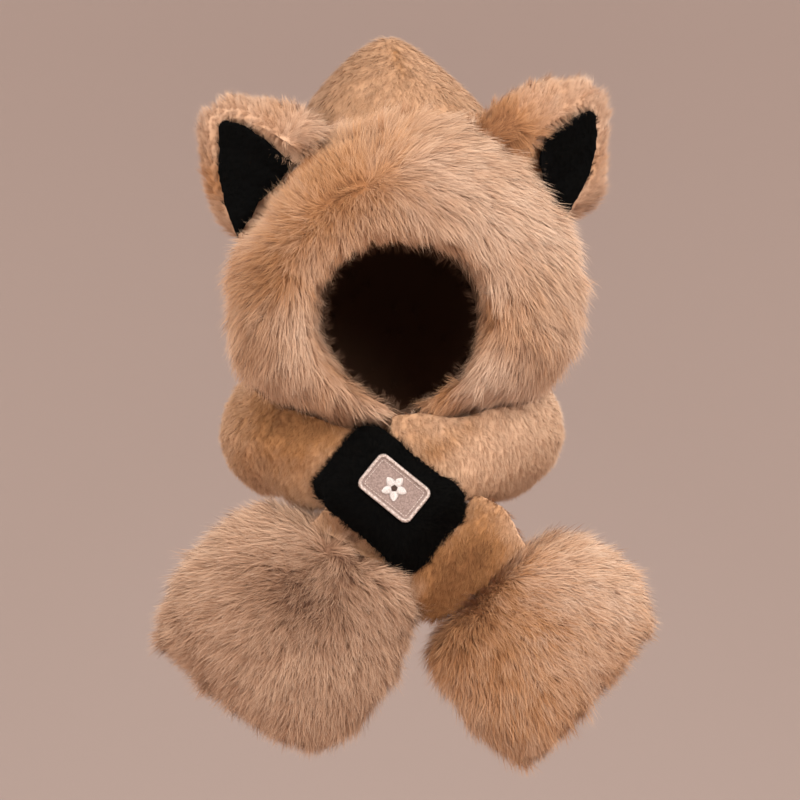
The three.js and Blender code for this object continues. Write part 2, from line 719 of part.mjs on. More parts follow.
// A flat piece raised to the front from the keeper's face.
function plate(outline, thickness, lift) {
  const settings = { depth: thickness, bevelEnabled: false, curveSegments: 4 };
  const geometry = new THREE.ExtrudeGeometry(outline, settings);
  return geometry.rotateX(Math.PI / 2).translate(patchAlong, -lift, patchUp);
}

const patchEdgeOutline = roundedOutline(new THREE.Shape(), patchLength, patchWidth, patchCorner);
patchEdgeOutline.holes.push(roundedOutline(
  new THREE.Path(),
  patchLength - 2 * edgeWidth,
  patchWidth - 2 * edgeWidth,
  patchCorner - edgeWidth / 2,
));
const groundInset = 2 * (edgeWidth + clearance);
const groundOutline = roundedOutline(
  new THREE.Shape(),
  patchLength - groundInset,
  patchWidth - groundInset,
  patchCorner - edgeWidth / 2,
);

// Five petals as one outline: its radius swells once for each.
function flowerOutline() {
  const outline = new THREE.Shape();
  const points = petalCount * petalShape.points;
  for (let place = 0; place < points; place += 1) {
    const angle = (place / points) * 2 * Math.PI;
    const swell = Math.abs(Math.cos((petalCount * angle) / 2)) ** petalShape.bluntness;
    const reach = flowerRadius * THREE.MathUtils.lerp(petalShape.notch, 1, swell);
    const [x, y] = [reach * Math.sin(angle), reach * Math.cos(angle)];
    if (place) outline.lineTo(x, y);
    else outline.moveTo(x, y);
  }
  return outline;
}

const edgeGeometry = plate(patchEdgeOutline, edgeThickness, clearance);
const groundGeometry = plate(groundOutline, patchThickness, clearance);
const flowerLift = 2 * clearance + patchThickness;
const flowerGeometry = plate(flowerOutline(), flowerThickness, flowerLift);
const heartLift = flowerLift + flowerThickness + clearance;
const heartGeometry = plate(
  new THREE.Shape().absarc(0, 0, flowerHeartRadius, 0, 2 * Math.PI),
  flowerThickness,
  heartLift,
);

// An ear in its own frame: Z from root to tip, -Y the dished front.
function buildEar(seed) {
  const rings = earSections.map((section) => Array.from({ length: earSides }, (_, place) => {
    const angle = (place / earSides) * 2 * Math.PI;
    const across = (earBreadth / 2 - earLock / 2) * section.breadth;
    const thick = (earThickness / 2 - earLock / 2) * section.thickness;
    return new THREE.Vector3(
      across * signedPower(Math.cos(angle), roundness.ear),
      thick * signedPower(Math.sin(angle), roundness.ear),
      (earLength - earLock / 2) * section.rise,
    );
  }));
  const lockAt = (row, place, corners) => {
    if (row === 0) return null;
    const middle = corners.reduce((sum, point) => sum.add(point), new THREE.Vector3()).divideScalar(4);
    const outward = new THREE.Vector3(middle.x / earBreadth, (middle.y * 2) / earThickness, earLay.upward);
    const lift = earLock * (earLay.least + earLay.spread * spreadOf(row + seed, place));
    const lean = new THREE.Vector3(0, 0, lift * earLay.lean);
    return lockPoint(corners, outward.normalize(), lift * earLay.lift, lean);
  };
  return bodyFromRings(rings, lockAt);
}

function leafOutline(margin) {
  const outline = new THREE.Shape();
  const half = leafBreadth / 2 + margin;
  const top = leafLength - leafRim + margin;
  const low = -leafRim - margin;
  const [root, point, belly] = [half * leafShape.root, half * leafShape.point, half * leafShape.belly];
  const [shoulder, shoulderUp] = [half * leafShape.shoulder, top * leafShape.shoulderUp];
  outline.moveTo(-root, low);
  outline.lineTo(root, low);
  outline.bezierCurveTo(belly, 0, shoulder, shoulderUp, point, top);
  outline.quadraticCurveTo(0, top + margin, -point, top);
  outline.bezierCurveTo(-shoulder, shoulderUp, -belly, 0, -root, low);
  return outline;
}

function leafPrism(margin, thickness, depth) {
  const settings = { depth: thickness, bevelEnabled: false, curveSegments: 6 };
  const prism = new THREE.ExtrudeGeometry(leafOutline(margin), settings);
  return prism.rotateX(Math.PI / 2).translate(0, -depth, 0);
}

const material = (color, roughness) => new THREE.MeshStandardMaterial({ color, roughness, metalness: 0 });
const furColour = 0xc9a180;
const plushColour = 0xb98d69;
const blackColour = 0x0c0c0b;
const clothColour = 0xb2968a;
const threadColour = 0xe8dcd4;
const heartColour = 0x3a2a22;

const scarf = new THREE.Group();

function addPiece(parent, name, geometry, color, roughness = 0.95) {
  const piece = new THREE.Mesh(geometry, material(color, roughness));
  piece.name = name;
  parent.add(piece);
  return piece;
}

addPiece(scarf, 'hood_shell', shellGeometry, plushColour);
addPiece(scarf, 'hood_lining', liningGeometry, blackColour);
addPiece(scarf, 'face_ruff', ruffGeometry, furColour);
addPiece(scarf, 'scarf_left', leftBandGeometry, plushColour);
addPiece(scarf, 'scarf_right', rightBandGeometry, plushColour);
addPiece(scarf, 'paw_left', buildPaw(pawLeft, true), furColour);
addPiece(scarf, 'paw_right', buildPaw(pawRight, true), furColour);

scarf.add(keeperGroup);
addPiece(keeperGroup, 'keeper', keeperGeometry, blackColour);
addPiece(keeperGroup, 'patch_edge', edgeGeometry, threadColour, 0.8);
addPiece(keeperGroup, 'patch_ground', groundGeometry, clothColour, 0.9);
addPiece(keeperGroup, 'patch_flower', flowerGeometry, threadColour, 0.7);
addPiece(keeperGroup, 'patch_flower_centre', heartGeometry, heartColour, 0.7);

// Each ear stands in three nested turns: leant sideways, tipped back, and turned outwards.
ears.forEach((row, index) => {
  const seat = new THREE.Group();
  seat.position.set(row.across, -row.forward, -row.drop);
  seat.rotation.y = radians(row.lean);
  const tipped = new THREE.Group();
  tipped.rotation.x = radians(row.tip);
  const turned = new THREE.Group();
  turned.rotation.z = radians(row.turn);
  scarf.add(seat);
  seat.add(tipped);
  tipped.add(turned);
  scarf.updateMatrixWorld(true);
  const leafDepth = earThickness / 2 - earLock / 2 - dishDepth;
  const neighbours = inFrameOf(turned, [hoodRoom, ruffRoom]);
  const earGeometry = cutBy(buildEar(index * 7), [
    leafPrism(0, earThickness, leafDepth),
    ...neighbours,
  ]);
  const leafGeometry = cutBy(leafPrism(-clearance, leafThickness, leafDepth + clearance), neighbours);
  addPiece(turned, `ear_${row.side}`, earGeometry, furColour);
  addPiece(turned, `ear_inner_${row.side}`, leafGeometry, blackColour);
});

export default scarf;
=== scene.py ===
import json
import math
import bmesh
import bpy
import numpy as np
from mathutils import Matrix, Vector, noise
from mathutils.bvhtree import BVHTree

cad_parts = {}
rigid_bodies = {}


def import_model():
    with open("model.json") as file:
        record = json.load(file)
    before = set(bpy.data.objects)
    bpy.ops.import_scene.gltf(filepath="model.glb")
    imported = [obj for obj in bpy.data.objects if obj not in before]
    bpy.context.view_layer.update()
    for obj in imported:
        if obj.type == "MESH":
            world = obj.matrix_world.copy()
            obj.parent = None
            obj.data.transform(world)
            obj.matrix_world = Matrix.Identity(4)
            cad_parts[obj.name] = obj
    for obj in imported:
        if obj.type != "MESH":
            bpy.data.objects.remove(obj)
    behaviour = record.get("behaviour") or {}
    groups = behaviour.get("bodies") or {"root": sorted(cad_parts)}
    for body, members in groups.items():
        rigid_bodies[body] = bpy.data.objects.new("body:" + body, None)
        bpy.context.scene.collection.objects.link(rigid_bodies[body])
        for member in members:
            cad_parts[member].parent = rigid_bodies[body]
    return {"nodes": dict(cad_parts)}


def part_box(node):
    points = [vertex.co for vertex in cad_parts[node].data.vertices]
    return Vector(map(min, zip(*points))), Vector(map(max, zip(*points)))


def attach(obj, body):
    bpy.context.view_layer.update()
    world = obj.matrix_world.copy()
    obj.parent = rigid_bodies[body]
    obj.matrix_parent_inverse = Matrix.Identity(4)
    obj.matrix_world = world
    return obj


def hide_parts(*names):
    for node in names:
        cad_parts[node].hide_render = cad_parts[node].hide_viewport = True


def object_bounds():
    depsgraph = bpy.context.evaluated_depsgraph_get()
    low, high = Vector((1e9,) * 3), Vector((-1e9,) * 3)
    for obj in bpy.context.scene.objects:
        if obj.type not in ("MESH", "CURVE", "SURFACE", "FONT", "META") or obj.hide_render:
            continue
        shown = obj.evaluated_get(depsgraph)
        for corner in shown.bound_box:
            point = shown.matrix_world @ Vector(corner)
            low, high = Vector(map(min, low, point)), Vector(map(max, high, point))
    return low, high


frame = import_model()
cadLow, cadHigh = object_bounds()
scene = bpy.context.scene
mm = 0.001


def solidOf(names):
    # one mesh from the named frame nodes: points and faces
    points, faces = [], []
    for name in names:
        mesh = frame["nodes"][name].data
        start = len(points)
        points += [v.co.copy() for v in mesh.vertices]
        faces += [[start + i for i in p.vertices] for p in mesh.polygons]
    return points, faces


def linked(name, mesh):
    piece = bpy.data.objects.new(name, mesh)
    scene.collection.objects.link(piece)
    return piece


def settled(piece):
    # the piece with its modifiers made real
    graph = bpy.context.evaluated_depsgraph_get()
    graph.update()
    made = bpy.data.meshes.new_from_object(piece.evaluated_get(graph), depsgraph=graph)
    old = piece.data
    piece.modifiers.clear()
    piece.data = made
    bpy.data.meshes.remove(old)


def fetched(items, key, wide=1, kind=np.float32):
    # one value or vector for each item
    found = np.empty(len(items) * wide, kind)
    items.foreach_get(key, found)
    return found if wide == 1 else found.reshape(-1, wide)


def placesOf(mesh):
    return fetched(mesh.vertices, "co", 3).astype(float)


def facingsOf(mesh):
    return fetched(mesh.vertex_normals, "vector", 3).astype(float)


def surfaceOf(skin):
    return placesOf(skin.data), facingsOf(skin.data)


def placed(mesh, places):
    mesh.vertices.foreach_set("co", places.astype(np.float32).ravel())
    mesh.update()


def smoothed(skin, rounds, factor=0.5):
    smooth = skin.modifiers.new("smooth", "SMOOTH")
    smooth.iterations = rounds
    smooth.factor = factor
    settled(skin)


def skinOf(name, node, looks):
    # the smooth body under the fur
    points, faces = solidOf([node])
    mesh = bpy.data.meshes.new(name)
    mesh.from_pydata(points, [], faces)
    skin = linked(name, mesh)
    weld = skin.modifiers.new("weld", "WELD")
    weld.merge_threshold = 0.00002
    if looks["voxel"] > 0:
        remesh = skin.modifiers.new("remesh", "REMESH")
        remesh.mode = "VOXEL"
        remesh.voxel_size = looks["voxel"]
        smoothed(skin, looks["rounds"], 0.6)
    else:
        settled(skin)
    keepBody(skin.data)
    places, facings = surfaceOf(skin)
    thick = thicknessOf(skin.data, places, facings)
    placed(skin.data, places - facings * np.minimum(looks["inset"], 0.2 * thick)[:, None])
    skin.data.polygons.foreach_set("use_smooth", [True] * len(skin.data.polygons))
    return skin


def keepBody(mesh):
    # drops the crumbs that a remesh leaves beside the body
    work = bmesh.new()
    work.from_mesh(mesh)
    left, shells = set(work.verts), []
    while left:
        front = [left.pop()]
        shell = set(front)
        while front:
            for edge in front.pop().link_edges:
                for vert in edge.verts:
                    if vert in left:
                        left.discard(vert)
                        shell.add(vert)
                        front.append(vert)
        shells.append(shell)
    body = max(shells, key=len)
    bmesh.ops.delete(work, geom=[v for v in work.verts if v not in body], context="VERTS")
    work.to_mesh(mesh)
    work.free()


def thicknessOf(mesh, places, facings):
    # how far the other side of the body is from each point
    tree = BVHTree.FromPolygons([Vector(p) for p in places], [list(p.vertices) for p in mesh.polygons])
    thick = np.full(len(places), 0.2)
    for index, (place, facing) in enumerate(zip(places, facings)):
        found = tree.ray_cast(Vector(place - facing * 0.0004), Vector(-facing), 0.2)
        if found[0] is not None:
            thick[index] = found[3]
    return thick


def treeOf(skin):
    mesh = skin.data
    return BVHTree.FromPolygons([v.co for v in mesh.vertices], [list(p.vertices) for p in mesh.polygons])


def drawnTo(skin, tree, reach, span, most, gap=0.003):
    # the body stretched to meet its neighbour's skin under the fur
    places = placesOf(skin.data)
    for index, place in enumerate(places):
        spot, _, _, far = tree.find_nearest(Vector(place))
        share = 1 - eased(far, reach, reach + span)
        if share > 0 and far > gap:
            places[index] += (np.array(spot) - place) / far * min(most, far - gap) * share
    placed(skin.data, places)


def nudged(skin, rows):
    # the body pushed softly by rows of across, up, radius, right, rise and forward in mm
    places = placesOf(skin.data)
    front = places[:, [0, 2]] / mm
    for across, up, radius, right, rise, forward in rows:
        share = np.exp(-((front - (across, up)) ** 2).sum(1) / radius ** 2)
        places += share[:, None] * np.array([right, -forward, rise]) * mm
    placed(skin.data, places)


def farFrom(places, tree):
    return np.array([tree.find_nearest(Vector(place))[3] for place in places])


def swollen(skin, looks):
    # stuffing pushes the cloth out by up to a cap
    before = placesOf(skin.data)
    cloth = skin.modifiers.new("cloth", "CLOTH")
    cloth.settings.use_pressure = True
    cloth.settings.uniform_pressure_force = looks["pressure"]
    cloth.settings.effector_weights.gravity = 0
    cloth.settings.quality = 4
    cloth.point_cache.frame_start = 1
    cloth.point_cache.frame_end = looks["frames"]
    for step in range(1, looks["frames"] + 1):
        scene.frame_set(step)
    settled(skin)
    scene.frame_set(1)
    move = placesOf(skin.data) - before
    far = np.linalg.norm(move, axis=1, keepdims=True)
    placed(skin.data, before + move * np.minimum(1, looks["cap"] / np.maximum(far, 1e-9)))


def roomOver(skin, nodes, reach):
    # how far the way out is free at each point of the skin, up to a reach
    tree = BVHTree.FromPolygons(*solidOf(nodes))
    rooms = np.full(len(skin.data.vertices), reach)
    for index, (place, facing) in enumerate(zip(*surfaceOf(skin))):
        found = tree.ray_cast(Vector(place), Vector(facing), reach)
        if found[0] is not None:
            rooms[index] = found[3]
    return rooms


def eased(values, low, high):
    share = np.clip((values - low) / (high - low), 0, 1)
    return share * share * (3 - 2 * share)


def unit(vectors):
    return vectors / np.maximum(np.linalg.norm(vectors, axis=1, keepdims=True), 1e-9)


def along(flow, facing):
    # the flow laid into the surface
    return unit(flow - facing * (flow * facing).sum(1, keepdims=True))


def patchy(places, size, seed):
    shift = Vector((seed * 7.3, seed * 3.1, seed * 5.7))
    return np.array([noise.noise(Vector(place) / size + shift) for place in places])


def wave(places, looks, key, seed):
    # a value that drifts over the piece, by its amount and size
    amount, size = looks[key]
    return amount * patchy(places, size, seed)


def bent(flow, places, looks):
    # the flow turned from place to place, by across, up and size
    across, up, size = looks["bend"]
    flow[:, 0] += across * patchy(places, size, 1)
    if up:
        flow[:, 2] += up * patchy(places, size, 2)


def toneOf(places, looks):
    tone = looks["level"] + spotted(places, looks.get("tone", ()))
    for seed, (amount, size) in zip((5, 6), looks["toneWaves"]):
        tone = tone + amount * patchy(places, size, seed)
    return tone


def guided(places, rows, reach):
    # smooth direction in the front plane from rows of across, up, right, rise in mm
    table = np.array(rows, float)
    front = places[:, [0, 2]] / mm
    gap = ((front[:, None, :] - table[None, :, :2]) ** 2).sum(2)
    weight = np.exp(-gap / (2 * reach * reach)) + 1e-12
    way = (weight[:, :, None] * table[None, :, 2:4]).sum(1) / weight.sum(1)[:, None]
    return np.stack([way[:, 0], np.zeros(len(way)), way[:, 1]], axis=1)


def spotted(places, rows):
    # soft spots in the front plane from rows of across, up, radius in mm and strength
    front = places[:, [0, 2]] / mm
    total = np.zeros(len(front))
    for across, up, radius, strength in rows:
        gap = ((front - (across, up)) ** 2).sum(1) / radius ** 2
        total += strength * np.exp(-gap)
    return total


def tuftKinds(label, *shapes):
    # tufts of tapered hairs that lean towards +Y: each shape gives as many kinds as the first
    group = bpy.data.collections.new(label)
    for order, shape in enumerate(shapes):
        draw = np.random.default_rng(shape["seed"])
        for kind in range(shape["kinds"]):
            points, faces, uvs = [], [], []
            for hair in range(shape["hairs"]):
                guard = hair < shape["guards"]
                steps = shape["steps"] if hair < shape["curved"] else 1
                root = draw.uniform(-1, 1, 2) * shape["spread"]
                length = shape["length"] * draw.uniform(0.7, 1.0) * (shape["guard"] if guard else 1)
                half = 0.5 * shape["width"] * draw.uniform(0.75, 1.2) * (0.7 if guard else 1)
                bend = draw.normal(0, shape["ruffle"])
                rise = math.radians((shape["rise"] if steps > 1 else shape["slant"]) + bend)
                lay = math.radians((shape["lay"] if steps > 1 else shape["slant"]) + bend)
                sway = draw.normal(0, shape["sway"])
                roll = draw.normal(0, 0.45)
                side = np.array([math.cos(roll), 0, math.sin(roll)]) * half
                start = len(points)
                forth, up = 0.0, 0.0
                for step in range(steps + 1):
                    share = step / steps
                    gather = 1 - shape["gather"] * share
                    middle = np.array([
                        root[0] * gather + sway * length * share * (share if steps > 1 else 1),
                        root[1] * (1 - 0.4 * shape["gather"] * share) + forth,
                        up,
                    ])
                    if step < steps:
                        width = 1 - 0.5 * share
                        points += [tuple(middle - side * width), tuple(middle + side * width)]
                        angle = rise + (lay - rise) * (share + 0.5 / steps)
                        forth += math.cos(angle) * length / steps
                        up += math.sin(angle) * length / steps
                    else:
                        points.append(tuple(middle))
                tint = draw.uniform(0, 0.07)
                base = shape["pale"] if guard else 0.0
                for step in range(steps):
                    low = base + (1 - base) * step / steps
                    high = base + (1 - base) * (step + 1) / steps
                    corner = start + 2 * step
                    if step < steps - 1:
                        faces.append((corner, corner + 1, corner + 3, corner + 2))
                        uvs += [(tint, low), (tint + 0.02, low), (tint + 0.02, high), (tint, high)]
                    else:
                        faces.append((corner, corner + 1, corner + 2))
                        uvs += [(tint, low), (tint + 0.02, low), (tint + 0.01, high)]
            title = f"{label} {order}{kind}"
            mesh = bpy.data.meshes.new(title)
            mesh.from_pydata(points, [], faces)
            layer = mesh.uv_layers.new(name="OFBake")
            layer.data.foreach_set("uv", np.array(uvs, np.float32).ravel())
            mesh.attributes.new("hair", "FLOAT", "POINT").data.foreach_set("value", [1.0] * len(points))
            mesh.polygons.foreach_set("use_smooth", [True] * len(mesh.polygons))
            group.objects.link(bpy.data.objects.new(title, mesh))
    return group


def furTree(label, tufts, material):
    # tufts stood on a skin by its flow, size, stand, cover and tone values
    tree = bpy.data.node_groups.new(label, "GeometryNodeTree")
    face = tree.interface
    face.new_socket("Skin", in_out="INPUT", socket_type="NodeSocketGeometry")
    for title, kind, value in (
        ("Spacing", "NodeSocketFloat", 0.003),
        ("Turn", "NodeSocketFloat", 0.3),
        ("Tilt", "NodeSocketFloat", 0.15),
        ("Mottle", "NodeSocketFloat", 0.1),
        ("Kinds", "NodeSocketInt", 6),
        ("Seed", "NodeSocketInt", 1),
    ):
        face.new_socket(title, in_out="INPUT", socket_type=kind).default_value = value
    face.new_socket("Fur", in_out="OUTPUT", socket_type="NodeSocketGeometry")

    def node(kind, sockets=None, **settings):
        # a node with its settings and its inputs; gives its outputs
        made = tree.nodes.new(kind)
        for key, value in settings.items():
            setattr(made, key, value)
        for place, value in (sockets or {}).items():
            if isinstance(value, bpy.types.NodeSocket):
                tree.links.new(value, made.inputs[place])
            else:
                made.inputs[place].default_value = value
        return made.outputs

    def named(name, kind="FLOAT"):
        return node("GeometryNodeInputNamedAttribute", {"Name": name}, data_type=kind)["Attribute"]

    def stored(geometry, name, value, kind):
        sockets = {"Geometry": geometry, "Name": name, "Value": value}
        return node("GeometryNodeStoreNamedAttribute", sockets, data_type=kind, domain="POINT")["Geometry"]

    def sums(operation, *values):
        return node("ShaderNodeMath", dict(enumerate(values)), operation=operation)[0]

    def chance(shift):
        # a seeded random value from -1 to 1
        made = tree.nodes.new("FunctionNodeRandomValue")
        made.data_type = "FLOAT"
        floats = [s for s in made.inputs if s.type == "VALUE"]
        floats[0].default_value = -1
        floats[1].default_value = 1
        tree.links.new(sums("ADD", given["Seed"], shift), made.inputs["Seed"])
        return [s for s in made.outputs if s.type == "VALUE"][0]

    given = node("NodeGroupInput")
    spots = node("GeometryNodeDistributePointsOnFaces", {
        "Mesh": given["Skin"],
        "Distance Min": given["Spacing"],
        "Seed": given["Seed"],
        "Density Max": sums("DIVIDE", 1.6, sums("MULTIPLY", given["Spacing"], given["Spacing"])),
        "Density Factor": named("cover"),
    }, distribute_method="POISSON")
    mottle = sums("MULTIPLY", chance(3), given["Mottle"])
    toned = stored(spots["Points"], "tone", sums("ADD", named("tone"), mottle), "FLOAT")
    marked = stored(toned, "coat", spots["Normal"], "FLOAT_VECTOR")
    upright = node("FunctionNodeAlignRotationToVector", {"Vector": spots["Normal"]}, axis="Z")
    headed = node("FunctionNodeAlignRotationToVector", {
        "Rotation": upright["Rotation"],
        "Vector": named("flow", "FLOAT_VECTOR"),
    }, axis="Y", pivot_axis="Z")
    lift = sums("MULTIPLY", chance(5), given["Tilt"])
    swing = node("ShaderNodeCombineXYZ", {
        "X": sums("ADD", named("stand"), lift),
        "Z": sums("MULTIPLY", chance(7), given["Turn"]),
    })
    swung = node("FunctionNodeEulerToRotation", {"Euler": swing["Vector"]})
    turned = node("FunctionNodeRotateRotation", {
        "Rotation": headed["Rotation"],
        "Rotate By": swung["Rotation"],
    }, rotation_space="LOCAL")
    kinds = node("GeometryNodeCollectionInfo", {
        "Collection": tufts,
        "Separate Children": True,
        "Reset Children": True,
    })
    share = sums("MULTIPLY_ADD", chance(13), 0.5, 0.5)
    pick = sums("FLOOR", sums("MULTIPLY", share, sums("SUBTRACT", given["Kinds"], 0.001)))
    rough = sums("GREATER_THAN", sums("MULTIPLY", named("rough"), 2), sums("ADD", chance(17), 1))
    varied = sums("ADD", 1.0, sums("MULTIPLY", chance(11), 0.14))
    planted = node("GeometryNodeInstanceOnPoints", {
        "Points": marked,
        "Instance": kinds["Instances"],
        "Pick Instance": True,
        "Instance Index": sums("ADD", pick, sums("MULTIPLY", rough, given["Kinds"])),
        "Rotation": turned["Rotation"],
        "Scale": sums("MULTIPLY", named("size"), varied),
    })
    real = node("GeometryNodeRealizeInstances", {"Geometry": planted["Instances"]})
    both = tree.nodes.new("GeometryNodeJoinGeometry")
    for part in (real["Geometry"], given["Skin"]):
        tree.links.new(part, both.inputs["Geometry"])
    dyed = node("GeometryNodeSetMaterial", {"Geometry": both.outputs["Geometry"], "Material": material})
    node("NodeGroupOutput", {"Fur": dyed["Geometry"]})
    return tree


def heldIn(mesh):
    # the longest tips curl back where they pass the whole size by more than 5 mm
    most = 5 * mm
    places = placesOf(mesh)
    for edge, sign in ((np.array(cadLow), -1), (np.array(cadHigh), 1)):
        past = (places - edge) * sign
        curl = most + most * (1 - np.exp(-(past - most) / most))
        places = np.where(past > most, edge + sign * curl, places)
    placed(mesh, places)


def furred(skin, looks, tufts, material, values):
    # grows the fur and writes its map: tone across, root to tip upwards
    mesh = skin.data
    count = len(mesh.vertices)
    for name, value in {"rough": 0.0, **values}.items():
        kind, key, shape = ("FLOAT_VECTOR", "vector", (count, 3)) if name == "flow" else ("FLOAT", "value", count)
        layer = mesh.attributes.new(name, kind, "POINT")
        layer.data.foreach_set(key, np.broadcast_to(value, shape).astype(np.float32).ravel())
    tree = furTree(f"{skin.name} fur", tufts, material)
    fur = skin.modifiers.new("fur", "NODES")
    fur.node_group = tree
    for item in tree.interface.items_tree:
        if item.item_type == "SOCKET" and item.in_out == "INPUT" and item.name in looks:
            fur[item.identifier] = looks[item.name]
    settled(skin)
    mesh = skin.data
    heldIn(mesh)
    mesh.materials.clear()
    mesh.materials.append(material)
    owner = fetched(mesh.loops, "vertex_index", 1, np.int32)
    tone = fetched(mesh.attributes["tone"].data, "value")
    hair = fetched(mesh.attributes["hair"].data, "value") > 0.5
    coat = fetched(mesh.attributes["coat"].data, "vector", 3).astype(float)
    starts = fetched(mesh.polygons, "loop_start", 1, np.int32)
    corners = len(owner)
    step = np.arange(corners) - np.repeat(starts, np.diff(np.append(starts, corners)))
    layer = mesh.uv_layers["OFBake"]
    uv = fetched(layer.data, "uv", 2)
    bare = ~hair[owner]
    uv[bare, 0] = np.isin(step[bare], (1, 2)) * 0.02
    uv[bare, 1] = looks["base"] + np.isin(step[bare], (2, 3)) * 0.03
    uv[:, 0] = 0.02 + 0.88 * np.clip(tone[owner], 0, 1) + uv[:, 0]
    uv[:, 1] = 0.01 + 0.98 * uv[:, 1]
    layer.data.foreach_set("uv", uv.ravel())
    layer.active_render = True
    own, soft = facingsOf(mesh), looks.get("soft", 0.75)
    lit = np.where(hair[:, None], unit(coat * soft + own * (1 - soft)), own)
    mesh.normals_split_custom_set_from_vertices(lit.tolist())
    for name in ("flow", "size", "stand", "cover", "tone", "rough", "hair", "coat"):
        if name in mesh.attributes:
            mesh.attributes.remove(mesh.attributes[name])
    print(f"{skin.name}: {len(mesh.loops) - 2 * len(mesh.polygons)} triangles")


def ramp(nodes, stops):
    # a colour ramp from rows of place, red, green, blue
    made = nodes.new("ShaderNodeValToRGB")
    made.color_ramp.interpolation = "EASE"
    items = made.color_ramp.elements
    while len(items) < len(stops):
        items.new(0.5)
    for item, (place, *colour) in zip(items, stops):
        item.position = place
        item.color = (*colour, 1)
    return made


def materialOf(name, inputs):
    material = bpy.data.materials.new(name)
    material.use_nodes = True
    shader = material.node_tree.nodes["Principled BSDF"]
    for title, value in inputs.items():
        shader.inputs[title].default_value = value
    return material, material.node_tree.nodes, material.node_tree.links, shader


def furMaterial(name, looks):
    # brown in the depth and pale at the tips; the tone picks between coats from dark to light
    material, nodes, links, shader = materialOf(name, {"Sheen Roughness": 0.4, **looks["shader"]})
    spot = nodes.new("ShaderNodeUVMap")
    spot.uv_map = "OFBake"
    split = nodes.new("ShaderNodeSeparateXYZ")
    links.new(spot.outputs["UV"], split.inputs["Vector"])
    colour, before = None, 0
    for place, *stops in looks["coats"]:
        coat = ramp(nodes, stops)
        links.new(split.outputs["Y"], coat.inputs["Fac"])
        if colour is None:
            colour, before = coat.outputs["Color"], place
            continue
        share = nodes.new("ShaderNodeMapRange")
        share.inputs["From Min"].default_value = before
        share.inputs["From Max"].default_value = place
        links.new(split.outputs["X"], share.inputs["Value"])
        mix = nodes.new("ShaderNodeMix")
        mix.data_type = "RGBA"
        links.new(share.outputs["Result"], mix.inputs["Factor"])
        links.new(colour, mix.inputs["A"])
        links.new(coat.outputs["Color"], mix.inputs["B"])
        colour, before = mix.outputs["Result"], place
    links.new(colour, shader.inputs["Base Color"])
    return material


def clothShine(roughness, gloss, sheen, tint):
    return {"Roughness": roughness, "Specular IOR Level": gloss, "Sheen Weight": sheen, "Sheen Tint": (*tint, 1)}


# each coat: its tone, then root to tip as place, red, green, blue
tanLooks = {
    "shader": clothShine(0.75, 0.18, 0.14, (1.0, 0.88, 0.76)),
    "coats": (
        (0, (0, 0.11, 0.04, 0.014), (0.35, 0.2, 0.076, 0.028), (0.75, 0.3, 0.125, 0.05), (1, 0.46, 0.25, 0.13)),
        (0.25, (0, 0.22, 0.09, 0.033), (0.35, 0.35, 0.152, 0.06), (0.75, 0.47, 0.225, 0.098), (1, 0.63, 0.375, 0.2)),
        (1, (0, 0.44, 0.262, 0.165), (0.3, 0.565, 0.366, 0.25), (0.7, 0.65, 0.455, 0.326), (1, 0.75, 0.58, 0.452)),
    ),
}
# the plush's darkest coat is as dark as the painted shadow on the band's end between the padded ends
plushLooks = {
    "shader": clothShine(0.8, 0.15, 0.12, (1.0, 0.84, 0.7)),
    "coats": (
        (0, (0, 0.09, 0.034, 0.012), (0.4, 0.15, 0.058, 0.02), (1, 0.25, 0.11, 0.042)),
        (0.25, (0, 0.23, 0.098, 0.034), (0.4, 0.33, 0.147, 0.054), (1, 0.46, 0.23, 0.096)),
        (1, (0, 0.49, 0.295, 0.18), (0.4, 0.61, 0.385, 0.245), (1, 0.74, 0.52, 0.365)),
    ),
}
pawLooks = {
    "shader": clothShine(0.75, 0.2, 0.12, (1.0, 0.9, 0.8)),
    "coats": (
        (0, (0, 0.07, 0.028, 0.014), (0.35, 0.16, 0.07, 0.036), (0.75, 0.3, 0.152, 0.084), (1, 0.6, 0.4, 0.27)),
        (0.3, (0, 0.14, 0.064, 0.033), (0.35, 0.27, 0.136, 0.075), (0.75, 0.42, 0.237, 0.142), (1, 0.69, 0.48, 0.34)),
        (1, (0, 0.32, 0.17, 0.096), (0.3, 0.52, 0.315, 0.195), (0.7, 0.66, 0.43, 0.28), (1, 0.8, 0.58, 0.42)),
    ),
}
blackLooks = {
    "shader": clothShine(0.85, 0.04, 0.012, (1.0, 0.95, 0.9)),
    "coats": (
        (0, (0, 0.001, 0.001, 0.001), (1, 0.003, 0.0026, 0.0022)),
        (1, (0, 0.0015, 0.0013, 0.001), (1, 0.006, 0.0055, 0.0045)),
    ),
}
liningLooks = {
    "shader": clothShine(0.85, 0.06, 0.02, (1.0, 0.8, 0.65)),
    "coats": (
        (0, (0, 0.05, 0.026, 0.015), (1, 0.1, 0.055, 0.033)),
        (1, (0, 0.1, 0.055, 0.033), (1, 0.22, 0.13, 0.085)),
    ),
}
tanFur = furMaterial("tan fur", tanLooks)
pawFur = furMaterial("padded end fur", pawLooks)
tanPlush = furMaterial("tan plush", plushLooks)
blackPlush = furMaterial("black plush", blackLooks)
liningPlush = furMaterial("lining plush", liningLooks)

